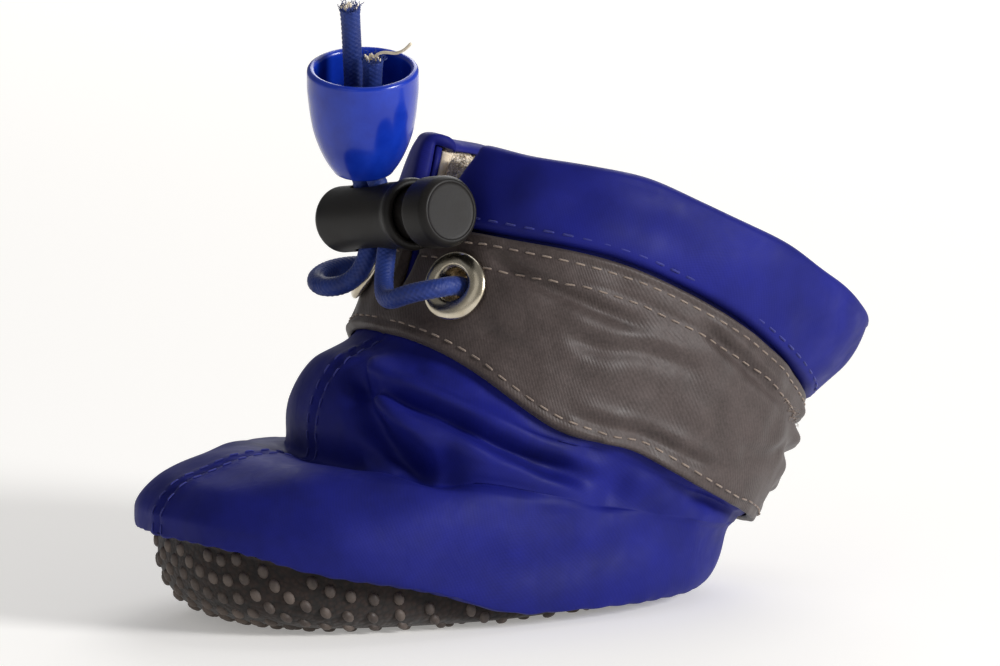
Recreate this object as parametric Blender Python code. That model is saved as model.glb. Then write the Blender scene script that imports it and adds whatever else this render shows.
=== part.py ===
"""Soft dog shoe with a drawcord collar.

One shoe, standing empty on its sole. Metres, +Z up, toe towards -X, either foot.
The upper is a fan of tilted rings from the seam at the sole up to the collar rim.
Every other soft piece follows from the same rings.
"""

from math import cos, pi, radians, sin

import bmesh
import bpy
import numpy as np

# Driving sizes
FOOT_LENGTH = 0.0800
BALL_WIDTH = 0.0490
COLLAR_HEIGHT = 0.0620
GAP = 0.0003
UPPER_WALL = 0.0026
SOLE_THICKNESS = 0.0015
INSOLE_THICKNESS = 0.0035
BAND_THICKNESS = 0.0012
CUFF_THICKNESS = 0.0014
CUFF_ROLL = 0.0014
TONGUE_THICKNESS = 0.0018
TONGUE_HALF_WIDTH = 0.0090
SLIT_HALF_WIDTH = 0.0062
CORD_DIAMETER = 0.0026
CORD_SPACING = 0.0031
CORD_CLEARANCE = 0.00035
EYELET_DIAMETER = 0.0090
EYELET_SIDE = 0.0110
EYELET_CLEARANCE = 0.0007
EYELET_WALL = 0.0006
LOCK_DIAMETER = 0.0096
LOCK_LENGTH = 0.0250
LOCK_BORE = 0.0074
LOCK_END_WALL = 0.0009
BARREL_SHARE = 0.69
PLUNGER_TRAVEL = 0.0025
PLUNGER_STEM = 0.0068
BELL_DIAMETER = 0.0147
BELL_HEIGHT = 0.0146
BELL_NECK = 0.0080
BELL_WALL = 0.0011
COLUMNS = 38

# Rings of the upper, from the sole's seam to the collar rim. nose and heel are the ends of the
# ring's tilted plane: x in foot lengths, z in collar heights. half is in ball widths, the powers
# are those of the outline, and widest is where along the ring it is widest. drape pulls the ring
# down to the seam line. shoulder and bow lift its sides, in collar heights.
RING_COLUMNS = ("nose_x", "nose_z", "heel_x", "heel_z", "half", "nose_power", "heel_power",
                "widest", "drape", "shoulder", "bow")
RINGS = (
    ("feather", -0.485, 0.194, 0.375, 0.032, 0.418, 2.3, 2.4, 0.44, 1.00, 0.000, 0.000),
    ("bulge", -0.510, 0.219, 0.475, 0.065, 0.496, 2.3, 2.4, 0.45, 0.85, 0.000, 0.000),
    ("wall", -0.510, 0.268, 0.512, 0.103, 0.510, 2.25, 2.4, 0.46, 0.38, 0.000, 0.000),
    ("crown", -0.465, 0.321, 0.525, 0.123, 0.502, 2.2, 2.4, 0.46, 0.05, 0.000, 0.000),
    ("top", -0.350, 0.358, 0.530, 0.132, 0.490, 2.2, 2.4, 0.47, 0.00, 0.000, 0.010),
    ("crease", -0.232, 0.348, 0.535, 0.139, 0.476, 2.3, 2.4, 0.48, 0.00, 0.000, 0.010),
    ("ankle", -0.215, 0.452, 0.540, 0.143, 0.473, 2.4, 2.4, 0.48, 0.00, 0.000, 0.005),
    ("corner", -0.175, 0.539, 0.544, 0.147, 0.469, 2.4, 2.4, 0.48, 0.00, -0.019, 0.000),
    ("band_low", -0.092, 0.590, 0.552, 0.150, 0.476, 2.5, 2.4, 0.48, 0.00, -0.048, -0.020),
    ("band_mid", -0.038, 0.710, 0.625, 0.268, 0.490, 2.5, 2.3, 0.48, 0.00, -0.019, 0.039),
    ("band_top", -0.002, 0.823, 0.660, 0.387, 0.469, 2.5, 2.3, 0.48, 0.00, 0.006, 0.079),
    ("cuff_mid", 0.028, 0.903, 0.741, 0.477, 0.473, 2.5, 2.3, 0.48, 0.00, 0.010, 0.068),
    ("rim", 0.052, 0.977, 0.779, 0.542, 0.469, 2.5, 2.3, 0.48, 0.00, 0.013, 0.058),
)
RING = {row[0]: float(k) for k, row in enumerate(RINGS)}

# Height of the seam between sole and upper along the foot, in foot lengths and collar heights.
SEAM_X = (-0.512, -0.462, -0.400, -0.350, -0.275, -0.200, -0.125, -0.062, -0.012, 0.625)
SEAM_Z = (0.203, 0.194, 0.168, 0.147, 0.132, 0.113, 0.084, 0.055, 0.034, 0.034)

# Where the collar's slit starts, where the eyelets sit and where the lock lies, as ring numbers.
SLIT_BASE = 8.4
EYELET_RING = 9.05
LOCK_RING = 10.2

# The outsole: share of the way from its middle to its rim, and share of the rim's height.
SOLE_RISE = ((0.62, 0.0), (0.70, 0.02), (0.79, 0.10), (0.87, 0.24), (0.94, 0.46), (0.98, 0.72), (1.0, 1.0))

# The points that pull each cord's curve, in metres in the frame of the fitting that it passes.
# The frames' axes are out, round the shaft and up it at an eyelet, across, through and along the
# lock, and front, up and across the bell.
ROUTE_COLUMNS = ("frame", "first_axis", "second_axis", "third_axis")
NEAR_ROUTE = (
    ("eyelet", -0.00110, 0.00000, 0.00000), ("eyelet", 0.00162, 0.00050, 0.00021),
    ("eyelet", 0.00527, 0.00026, -0.00154), ("eyelet", 0.00730, -0.00263, -0.00354),
    ("lock", -0.00415, -0.01128, 0.00643), ("lock", -0.00167, -0.00968, 0.00211),
    ("lock", 0.00041, -0.00271, 0.00180), ("lock", 0.00012, -0.00196, 0.00254),
    ("lock", 0.00015, 0.00431, 0.00140), ("bell", -0.00015, 0.00051, 0.00135),
    ("bell", 0.00000, 0.00700, 0.00153), ("bell", 0.00000, 0.01200, 0.00190),
    ("bell", -0.00003, 0.01629, 0.00211),
)
FAR_ROUTE = (
    ("eyelet", -0.00110, 0.00000, 0.00000), ("eyelet", 0.00166, -0.00044, 0.00018),
    ("eyelet", 0.00673, -0.00049, -0.00240), ("eyelet", 0.00878, 0.00359, -0.00522),
    ("lock", -0.00361, -0.00915, -0.00724), ("lock", -0.00076, -0.00813, -0.00304),
    ("lock", 0.00044, -0.00110, -0.00097), ("lock", 0.00005, 0.00238, -0.00237),
    ("lock", -0.00017, 0.00509, -0.00193), ("bell", 0.00029, 0.00037, -0.00184),
    ("bell", 0.00014, 0.00850, -0.00184), ("bell", 0.00008, 0.01550, -0.00220),
    ("bell", 0.00000, 0.02210, -0.00249),
)

COLOURS = {
    "sole_fabric": (0.030, 0.024, 0.022, 1.0), "fleece": (0.720, 0.640, 0.540, 1.0),
    "blue_nylon": (0.022, 0.028, 0.210, 1.0), "reflective_fabric": (0.070, 0.058, 0.058, 1.0),
    "nickel": (0.640, 0.600, 0.550, 1.0), "black_plastic": (0.014, 0.013, 0.013, 1.0),
    "blue_plastic": (0.010, 0.040, 0.480, 1.0), "blue_cord": (0.012, 0.040, 0.260, 1.0),
}


# Mesh helpers

def finish(obj, material, sharp=40.0):
    """Give an object its material and smooth shading that breaks at real edges."""
    slot = bpy.data.materials.get(material)
    if slot is None:
        slot = bpy.data.materials.new(material)
        slot.use_nodes = True
        shader = slot.node_tree.nodes["Principled BSDF"]
        shader.inputs["Base Color"].default_value = COLOURS[material]
        shader.inputs["Roughness"].default_value = 0.25 if material in ("nickel", "blue_plastic") else 0.7
        shader.inputs["Metallic"].default_value = 1.0 if material == "nickel" else 0.0
    obj.data.materials.append(slot)
    if obj.type == "MESH":
        obj.data.polygons.foreach_set("use_smooth", [True] * len(obj.data.polygons))
        obj.data.set_sharp_from_angle(angle=radians(sharp))
    return obj


def solid(name, points, faces, material):
    """Make one closed body with its faces outwards, without unused points."""
    mesh = bpy.data.meshes.new(name)
    mesh.from_pydata([tuple(map(float, p)) for p in points], [], faces)
    work = bmesh.new()
    work.from_mesh(mesh)
    bmesh.ops.delete(work, geom=[v for v in work.verts if not v.link_faces], context="VERTS")
    bmesh.ops.recalc_face_normals(work, faces=work.faces[:])
    work.to_mesh(mesh)
    work.free()
    obj = bpy.data.objects.new(name, mesh)
    bpy.context.scene.collection.objects.link(obj)
    return finish(obj, material)


def sheet(name, outer, inner, closed_rows, material):
    """Make the solid between two grids of points, rows by columns.

    In the first closed_rows rows the last column is the first one. The other rows are open.
    """
    rows, columns = outer.shape[:2]

    def at(side, k, j):
        j = 0 if k < closed_rows and j == columns - 1 else j
        return (side * rows + k) * columns + j

    faces = []
    for k in range(rows - 1):
        for j in range(columns - 1):
            faces.append((at(0, k, j), at(0, k, j + 1), at(0, k + 1, j + 1), at(0, k + 1, j)))
            faces.append((at(1, k, j), at(1, k + 1, j), at(1, k + 1, j + 1), at(1, k, j + 1)))
    for j in range(columns - 1):
        faces.append((at(0, 0, j), at(1, 0, j), at(1, 0, j + 1), at(0, 0, j + 1)))
        last = rows - 1
        faces.append((at(0, last, j), at(0, last, j + 1), at(1, last, j + 1), at(1, last, j)))
    for k in range(max(closed_rows - 1, 0), rows - 1):
        end = columns - 1
        faces.append((at(0, k, 0), at(0, k + 1, 0), at(1, k + 1, 0), at(1, k, 0)))
        faces.append((at(0, k, end), at(1, k, end), at(1, k + 1, end), at(0, k + 1, end)))
    points = np.concatenate([outer.reshape(-1, 3), inner.reshape(-1, 3)])
    return solid(name, points, faces, material)


def revolve(name, loop, place, count, material, open_ends=False):
    """Sweep a loop of (radius, height) pairs, or (radius, radius, height), about an axis.

    place turns two side distances and a height into points. With open_ends the loop starts and
    ends on the axis, and otherwise it closes on itself.
    """
    turn = np.arange(count) * 2 * pi / count
    points, rows = [], []
    for item in loop:
        r1, r2, height = item if len(item) == 3 else (item[0], item[0], item[1])
        if r1 < 1e-7:
            rows.append([len(points)] * count)
            points.append(place(0.0, 0.0, height))
            continue
        rows.append([len(points) + k for k in range(count)])
        points.extend(place(r1 * cos(a), r2 * sin(a), height) for a in turn)
    faces = []
    for k in range(len(rows) - 1 if open_ends else len(rows)):
        low, high = rows[k], rows[(k + 1) % len(rows)]
        for j in range(count):
            n = (j + 1) % count
            face = [low[j], low[n], high[n], high[j]]
            faces.append(tuple(dict.fromkeys(face)))
    return solid(name, points, faces, material)


def stadium_cutter(name, centre, along, across, axis, ends, half_width, half_depth):
    """A hidden cutter: a slot with round ends, from ends[0] to ends[1] along the first axis."""
    outline = []
    for end, start in ((ends[1], -pi / 2), (ends[0], pi / 2)):
        middle = end - half_width if start < 0 else end + half_width
        for k in range(9):
            a = start + pi * k / 8
            outline.append((middle + half_width * cos(a), half_width * sin(a)))
    points = [centre + along * s + across * w + axis * h
              for h in (-half_depth, half_depth) for s, w in outline]
    n = len(outline)
    faces = [tuple(range(n)), tuple(range(n, 2 * n))]
    faces += [(k, (k + 1) % n, n + (k + 1) % n, n + k) for k in range(n)]
    return hide_cutter(solid(name, points, faces, "black_plastic"))


def hide_cutter(obj):
    """Keep a cutter out of the render and the export."""
    obj.hide_render = True
    obj.display_type = "WIRE"
    return obj


def cut(obj, cutter):
    """Cut one solid by another."""
    modifier = obj.modifiers.new("cut_" + cutter.name, "BOOLEAN")
    modifier.operation = "DIFFERENCE"
    modifier.solver = "EXACT"
    modifier.object = cutter


def cord(name, points, diameter, material):
    """A round cord through the points, as a curve with filled ends."""
    curve = bpy.data.curves.new(name, "CURVE")
    curve.dimensions = "3D"
    curve.bevel_depth = diameter / 2
    curve.bevel_resolution = 2
    curve.use_fill_caps = True
    spline = curve.splines.new("POLY")
    spline.points.add(len(points) - 1)
    for place, point in zip(spline.points, points):
        place.co = (*map(float, point), 1.0)
    obj = bpy.data.objects.new(name, curve)
    bpy.context.scene.collection.objects.link(obj)
    return finish(obj, material)


# The upper's surface

def unit(vector):
    """A vector of length one."""
    return vector / np.linalg.norm(vector, axis=-1, keepdims=True)


def steady_rows(table, t):
    """Rows of a table at position t, smooth but never beyond its neighbouring rows."""
    steps = np.diff(table, axis=0)
    before, after = steps[:-1], steps[1:]
    total = np.where(before + after == 0, 1.0, before + after)
    slope = np.where(before * after > 0, 2 * before * after / total, 0.0)
    slope = np.concatenate([steps[:1], slope, steps[-1:]])
    k = np.clip(np.floor(t).astype(int), 0, len(table) - 2)
    f = (t - k)[..., None]
    rise = table[k + 1] - table[k]
    cubic = (3 * rise - 2 * slope[k] - slope[k + 1]) * f ** 2 + (slope[k] + slope[k + 1] - 2 * rise) * f ** 3
    return table[k] + slope[k] * f + cubic


def ring_values(t):
    """The named columns of RINGS at ring number t."""
    table = np.array([row[1:] for row in RINGS])
    values = steady_rows(table, np.asarray(t, float))
    return {name: values[..., k] for k, name in enumerate(RING_COLUMNS)}


def signed_power(value, power):
    """A power that keeps the sign."""
    return np.sign(value) * np.abs(value) ** power


def seam_height(x):
    """Height of the sole's rim at x, with its corners rounded."""
    share = x / FOOT_LENGTH
    steps = [np.interp(share + d, SEAM_X, SEAM_Z) for d in (-0.035, 0.0, 0.035)]
    return COLLAR_HEIGHT * (steps[0] + steps[1] + steps[2]) / 3


def surface(t, a):
    """Outer surface of the upper at ring t and angle a, from the nose round the -Y side."""
    t, a = np.broadcast_arrays(np.asarray(t, float), np.asarray(a, float))
    v = ring_values(t)
    c, s = np.cos(a), np.sin(a)
    power = np.where(c > 0, v["nose_power"], v["heel_power"])
    q = -signed_power(c, 2 / power)
    along = v["widest"] + np.where(q < 0, q * v["widest"], q * (1 - v["widest"]))
    x = FOOT_LENGTH * (v["nose_x"] + (v["heel_x"] - v["nose_x"]) * along)
    y = -BALL_WIDTH * v["half"] * signed_power(s, 2 / power)
    z = v["nose_z"] + (v["heel_z"] - v["nose_z"]) * along
    z = z + v["shoulder"] * np.sin(pi * np.clip(2 * along, 0, 1)) ** 2
    z = COLLAR_HEIGHT * (z + v["bow"] * np.sin(pi * np.clip(along, 0, 1)))
    low = np.clip(t, 0, 1)
    hem = (seam_height(x) + GAP) * (1 + 0.12 * low) - 0.026 * COLLAR_HEIGHT * low
    z = z + (hem - z) * np.clip(v["drape"], 0, 1)
    return np.stack([x, y, z], -1)


def tangents(t, a):
    """The surface's steps for a unit of angle and a unit of ring number."""
    e = 1e-3
    round_step = (surface(t, a + e) - surface(t, a - e)) / (2 * e)
    up_step = (surface(t + e, a) - surface(t - e, a)) / (2 * e)
    return round_step, up_step


def outward(t, a):
    """Outward normal of the upper's surface."""
    round_step, up_step = tangents(t, a)
    return unit(np.cross(round_step, up_step))


def offset(t, a, distance):
    """A point at a distance outside the surface, or inside it if that is negative."""
    return surface(t, a) + outward(t, a) * distance


def side_angle(t, y):
    """Angle at which the ring's nose half is y away from the middle."""
    v = ring_values(t)
    return np.arcsin((y / (BALL_WIDTH * v["half"])) ** (v["nose_power"] / 2))


def slit_angle(t):
    """Angle of the slit's edge at ring t: nothing up to its base, then opening to the rim."""
    t = np.asarray(t, float)
    opening = np.clip((t - SLIT_BASE) / (RING["rim"] - SLIT_BASE), 0, 1)
    return side_angle(t, SLIT_HALF_WIDTH * opening)


def grid(rows, columns=COLUMNS):
    """Ring numbers and angles of a grid from one edge of the slit round to the other."""
    t = np.array(rows, float)[:, None] * np.ones((1, columns + 1))
    start = slit_angle(t)
    a = start + (2 * pi - 2 * start) * np.linspace(0, 1, columns + 1)[None, :]
    return t, a


def closed_rows(rows):
    """How many rows lie at or below the slit's base."""
    return sum(1 for t in rows if t <= SLIT_BASE + 1e-9)


# Soft pieces

def build_upper():
    """The hollow upper: open at the collar, down the slit and underneath."""
    rows = (0, 0.33, 0.66, 1, 1.5, 2, 2.5, 3, 3.5, 4.2, 5, 5.35, 6, 6.5, 7, 7.5,
            8, SLIT_BASE, 8.8, 9.2, 9.6, 10, 10.6, 11.1, 11.55, 12)
    t, a = grid(rows)
    outer = surface(t, a)
    normal = outward(t, a)
    level = unit(normal * np.array([1, 1, 0]))
    inward = np.where(t[..., None] < 0.1, level, normal)
    return sheet("upper", outer, outer - inward * UPPER_WALL, closed_rows(rows), "blue_nylon")


def build_band():
    """The reflective band, laid on the upper's shaft below the cuff."""
    rows = (8.04, SLIT_BASE, 8.8, 9.2, 9.6, 10)
    t, a = grid(rows)
    return sheet("reflective_band", offset(t, a, GAP + BAND_THICKNESS), offset(t, a, GAP),
                 closed_rows(rows), "reflective_fabric")


def build_cuff():
    """The rolled cuff: over the shaft's top from outside, and inwards across the rim."""
    rows = (10.07, 10.6, 11.1, 11.55, 12)
    t, a = grid(rows)
    outer = offset(t, a, GAP + CUFF_THICKNESS)
    inner = offset(t, a, GAP)
    t_rim, a_rim = t[-1], a[-1]
    rim = surface(t_rim, a_rim)
    out = outward(t_rim, a_rim)
    up = unit(tangents(t_rim, a_rim)[1])

    def above(side, rise):
        return rim + out * side + up * rise

    top = GAP + CUFF_ROLL
    outer = np.concatenate([outer, above(GAP + 0.8 * CUFF_THICKNESS, 0.7 * top)[None],
                            above(0.0, top)[None], above(-0.5 * UPPER_WALL, top)[None],
                            above(-UPPER_WALL, 0.7 * top)[None]])
    inner = np.concatenate([inner, above(GAP, 0.5 * GAP)[None], above(0.0, GAP)[None],
                            above(-0.5 * UPPER_WALL, GAP)[None], above(-UPPER_WALL, GAP)[None]])
    return sheet("cuff", outer, inner, 0, "blue_nylon")


def build_tongue():
    """The fleece panel behind the slit."""
    rows = np.linspace(8.05, 11.75, 7)
    t = rows[:, None] * np.ones((1, 9))
    a = side_angle(t, TONGUE_HALF_WIDTH) * np.linspace(-1, 1, 9)[None, :]
    depth = UPPER_WALL + GAP + 0.0001
    return sheet("tongue", offset(t, a, -depth), offset(t, a, -depth - TONGUE_THICKNESS), 0, "fleece")


def sole_ring(share, rise, inset, floor):
    """One ring of the sole, at a share of its rim, inset from it and above a floor height."""
    a = np.linspace(0, 2 * pi, COLUMNS + 1)
    rim = surface(np.zeros_like(a), a)
    half_length = 0.43 * FOOT_LENGTH
    half_width = BALL_WIDTH * RINGS[0][5]
    top = seam_height(rim[:, 0])
    share = 1 - (1 - share) * (0.35 + 0.65 * top / top.max())
    x = rim[:, 0] * share * (half_length - inset) / half_length
    y = rim[:, 1] * share * (half_width - inset) / half_width
    return np.stack([x, y, floor + (np.maximum(top - floor, 0.0)) * rise], -1)


def build_outsole():
    """The sole, cupped up round the toe and flat under the heel and the forefoot."""
    middle = np.zeros((COLUMNS + 1, 3))
    middle[:, 2] = 0.0
    outer = [middle] + [sole_ring(s, r, 0.0, 0.0) for s, r in SOLE_RISE]
    lifted = middle + np.array([0, 0, SOLE_THICKNESS])
    inner = [lifted] + [sole_ring(s, r, SOLE_THICKNESS, SOLE_THICKNESS) for s, r in SOLE_RISE]
    return disc_sheet("outsole", np.array(outer), np.array(inner), "sole_fabric")


def build_insole():
    """The fleece pad inside, on the sole."""
    shares = ((0.45, 0.0, 1.0), (0.70, 0.02, 0.98), (0.84, 0.18, 0.86), (0.92, 0.36, 0.55))
    inset = UPPER_WALL + 2 * GAP
    floor = SOLE_THICKNESS + GAP
    middle = np.zeros((COLUMNS + 1, 3))
    under = [middle + np.array([0, 0, floor])]
    over = [middle + np.array([0, 0, floor + INSOLE_THICKNESS])]
    for share, rise, thick in shares:
        ring = sole_ring(share, rise, inset, floor)
        under.append(ring)
        over.append(ring + np.array([0, 0, INSOLE_THICKNESS * thick]))
    return disc_sheet("insole", np.array(under), np.array(over), "fleece")


def disc_sheet(name, under, over, material):
    """Make the solid between two stacks of closed rings, whose first ring is one point."""
    rows, columns = under.shape[:2]
    columns -= 1

    def at(side, k, j):
        return (side * rows + k) * (columns + 1) + (0 if k == 0 else j % columns)

    faces = []
    for side in (0, 1):
        for k in range(rows - 1):
            for j in range(columns):
                face = (at(side, k, j), at(side, k, j + 1), at(side, k + 1, j + 1), at(side, k + 1, j))
                faces.append(tuple(dict.fromkeys(face)))
    last = rows - 1
    for j in range(columns):
        faces.append((at(0, last, j), at(0, last, j + 1), at(1, last, j + 1), at(1, last, j)))
    points = np.concatenate([under.reshape(-1, 3), over.reshape(-1, 3)])
    return solid(name, points, faces, material)


# Fittings

def eyelet_angle(side):
    """Angle of the eyelet on one side: +1 towards -Y, -1 towards +Y."""
    return side * float(side_angle(np.array(EYELET_RING), EYELET_SIDE))


def on_shaft(side):
    """A function from (sideways, up, out) at an eyelet to a point that follows the shaft."""
    t0, a0 = np.array(EYELET_RING), np.array(eyelet_angle(side))
    round_step, up_step = tangents(t0, a0)
    normal = outward(t0, a0)
    across = unit(round_step)
    up = np.cross(normal, across)
    steps = np.array([[round_step @ across, up_step @ across], [round_step @ up, up_step @ up]])
    back = np.linalg.inv(steps)

    def place(sideways, height, out):
        da, dt = back @ np.array([sideways, height])
        return offset(t0 + dt, a0 + da, out)

    return place


def build_eyelet(name, side):
    """A grommet: a flange on the band and a barrel through it."""
    hole = CORD_DIAMETER / 2 + EYELET_CLEARANCE
    barrel = hole + EYELET_WALL
    seat = 2 * GAP + BAND_THICKNESS
    edge = EYELET_DIAMETER / 2
    loop = ((hole, -0.0011), (barrel, -0.0011), (barrel, seat), (edge, seat), (0.985 * edge, seat + 0.00045),
            (0.83 * edge, seat + 0.00095), (0.62 * edge, seat + 0.00105), (0.45 * edge, seat + 0.0007),
            (hole, seat + 0.0001))
    place = on_shaft(side)
    revolve(name, loop, place, 16, "nickel")
    cutter_loop = ((0.0, -0.0016), (barrel + GAP, -0.0016), (barrel + GAP, 0.0040), (0.0, 0.0040))
    return hide_cutter(revolve(name + "_hole", cutter_loop, place, 16, "nickel", open_ends=True))


class Lock:
    """The cord lock's place: its axis, its cord hole and the directions there."""

    def __init__(self):
        front = surface(np.array(LOCK_RING), np.array(0.0))
        stand = GAP + CUFF_THICKNESS + 0.0012 + LOCK_DIAMETER / 2
        self.centre = front + np.array([-stand, -0.065 * BALL_WIDTH, 0.0008])
        self.along = unit(np.array([0.139, -0.980, 0.143]))
        rise = np.array([0.0, 0.0, 1.0])
        self.axis = unit(rise - self.along * (rise @ self.along))
        self.across = np.cross(self.axis, self.along)
        self.hole = -0.16 * LOCK_LENGTH
        self.mouth = self.centre + self.along * self.hole

    def place(self, sideways, forward, height):
        """A point in the lock's frame, with the height along its barrel."""
        return self.centre + self.across * sideways + self.axis * forward + self.along * height


def build_lock(lock):
    """The barrel and its spring plunger, with one slot for both cords."""
    r, half = LOCK_DIAMETER / 2, LOCK_LENGTH / 2
    end = -half + BARREL_SHARE * LOCK_LENGTH
    bottom = -half + LOCK_END_WALL
    bore = LOCK_BORE / 2
    loop = ((0.0, -half), (0.80 * r, -half), (0.95 * r, -half + 0.0004), (r, -half + 0.0011), (r, end - 0.0006),
            (0.93 * r, end), (bore, end), (bore, bottom), (0.0, bottom))
    barrel = revolve("lock_barrel", loop, lock.place, 24, "black_plastic", open_ends=True)

    stem = PLUNGER_STEM / 2
    tip = bottom + PLUNGER_TRAVEL + GAP
    head = end + PLUNGER_TRAVEL + GAP
    loop = ((0.0, tip), (stem - 0.0003, tip), (stem, tip + 0.0003), (stem, head), (0.90 * r, head),
            (0.98 * r, head + 0.0005), (0.98 * r, half - 0.0009), (0.90 * r, half - 0.0003), (0.74 * r, half),
            (0.0, half))
    plunger = revolve("lock_plunger", loop, lock.place, 24, "black_plastic", open_ends=True)

    reach = CORD_SPACING / 2 + CORD_DIAMETER / 2 + 3 * CORD_CLEARANCE
    half_width = CORD_DIAMETER / 2 + 1.5 * CORD_CLEARANCE
    axes = (lock.centre, lock.along, lock.across, lock.axis)
    hole = stadium_cutter("barrel_hole", *axes, (lock.hole - reach, lock.hole + reach), half_width, LOCK_DIAMETER)
    slot = stadium_cutter("plunger_slot", *axes, (lock.hole - reach, lock.hole + reach + PLUNGER_TRAVEL),
                          half_width, LOCK_DIAMETER)
    cut(barrel, hole)
    cut(plunger, slot)


class Bell:
    """The cord end's place: a cup on the lock, mouth up, leaning forwards."""

    def __init__(self, lock):
        lean = radians(17)
        self.up = np.array([-0.5 * sin(lean), -0.866 * sin(lean), cos(lean)])
        self.across = unit(lock.along - self.up * (lock.along @ self.up))
        self.front = np.cross(self.up, self.across)
        self.neck = lock.mouth + lock.axis * (LOCK_DIAMETER / 2 + 0.0016) + np.array([-0.0012, 0.0, 0.0])

    def place(self, sideways, forward, height):
        """A point in the bell's frame."""
        return self.neck + self.across * sideways + self.front * forward + self.up * height


def build_bell(bell):
    """A tapered cup, open at the mouth, with a slot for both cords in its narrow end."""
    r, h, neck = BELL_DIAMETER / 2, BELL_HEIGHT, BELL_NECK / 2
    outside = ((0.00, 0.0), (0.10, 0.28), (0.25, 0.58), (0.42, 0.80), (0.62, 0.93), (0.82, 1.0), (0.96, 1.0))
    loop = [(neck + (r - neck) * w, neck + (r - neck) * w, h * k) for k, w in outside]
    loop += [(r - 0.35 * BELL_WALL, r - 0.35 * BELL_WALL, h), (r - BELL_WALL, r - BELL_WALL, 0.98 * h)]
    slot_long = CORD_SPACING / 2 + CORD_DIAMETER / 2 + 1.6 * CORD_CLEARANCE
    slot_wide = CORD_DIAMETER / 2 + 2.4 * CORD_CLEARANCE
    inside = ((0.80, 1.0), (0.60, 0.92), (0.40, 0.74), (0.24, 0.46), (0.14, 0.22), (0.0, 0.0))
    for k, w in inside:
        long = slot_long + (r - BELL_WALL - slot_long) * w
        wide = slot_wide + (r - BELL_WALL - slot_wide) * w
        loop.append((long, wide, h * k))
    return revolve("cord_bell", loop, bell.place, 26, "blue_plastic")


def pulled_path(points, spacing):
    """Points at an even spacing on a smooth curve pulled towards the points, from first to last."""
    table = np.array(points)
    table = np.concatenate([2 * table[:1] - table[1:2], table, 2 * table[-1:] - table[-2:-1]])
    t = np.linspace(0, len(points) - 1, 600)
    k = np.minimum(t.astype(int), len(points) - 2)
    f = (t - k)[:, None]
    dense = ((1 - f) ** 3 * table[k] + (3 * f ** 3 - 6 * f ** 2 + 4) * table[k + 1]
             + (-3 * f ** 3 + 3 * f ** 2 + 3 * f + 1) * table[k + 2] + f ** 3 * table[k + 3]) / 6
    run = np.concatenate([[0], np.cumsum(np.linalg.norm(np.diff(dense, axis=0), axis=1))])
    even = np.linspace(0, run[-1], int(round(run[-1] / spacing)) + 1)
    return np.stack([np.interp(even, run, dense[:, k]) for k in range(3)], -1)


def build_cord(name, side, route, lock, bell):
    """One strand: out of its eyelet, up through the lock and the bell, and cut off above."""
    t0, a0 = np.array(EYELET_RING), np.array(eyelet_angle(side))
    out, level = outward(t0, a0), unit(tangents(t0, a0)[0])
    frames = {"eyelet": (surface(t0, a0), out, level, np.cross(out, level)),
              "lock": (lock.mouth, lock.across, lock.axis, lock.along),
              "bell": (bell.neck, bell.front, bell.up, bell.across)}
    points = []
    for frame, *steps in route:
        centre, *axes = frames[frame]
        points.append(centre + sum(axis * step for axis, step in zip(axes, steps)))
    return cord(name, pulled_path(points, 0.0021), CORD_DIAMETER, "blue_cord")


def recentre():
    """Put the origin under the middle of the part, on the plane that it stands on."""
    solids = [o for o in bpy.data.objects if o.type == "MESH" and not o.hide_render]
    corners = np.array([v.co[:] for o in solids for v in o.data.vertices])
    low, high = corners.min(axis=0), corners.max(axis=0)
    shift = np.array([-(low[0] + high[0]) / 2, -(low[1] + high[1]) / 2, -low[2]])
    for obj in bpy.data.objects:
        if obj.type == "MESH":
            for vertex in obj.data.vertices:
                vertex.co = [float(c + s) for c, s in zip(vertex.co, shift)]
        elif obj.type == "CURVE":
            for spline in obj.data.splines:
                for point in spline.points:
                    point.co = (*[float(c + s) for c, s in zip(point.co, shift)], 1.0)


def main():
    """Build the shoe."""
    for obj in list(bpy.data.objects):
        bpy.data.objects.remove(obj, do_unlink=True)
    build_outsole()
    build_insole()
    upper = build_upper()
    build_tongue()
    band = build_band()
    build_cuff()
    for name, side in (("eyelet_near", 1), ("eyelet_far", -1)):
        cutter = build_eyelet(name, side)
        cut(upper, cutter)
        cut(band, cutter)
    lock = Lock()
    build_lock(lock)
    bell = Bell(lock)
    build_bell(bell)
    build_cord("cord_near", 1, NEAR_ROUTE, lock, bell)
    build_cord("cord_far", -1, FAR_ROUTE, lock, bell)
    recentre()


main()
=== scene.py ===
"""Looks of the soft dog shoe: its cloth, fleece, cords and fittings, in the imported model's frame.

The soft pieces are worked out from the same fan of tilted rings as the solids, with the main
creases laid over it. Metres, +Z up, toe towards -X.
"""

import logging
from dataclasses import dataclass
from enum import Enum
from math import cos, pi, radians, sin
from typing import Callable, Sequence

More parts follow.
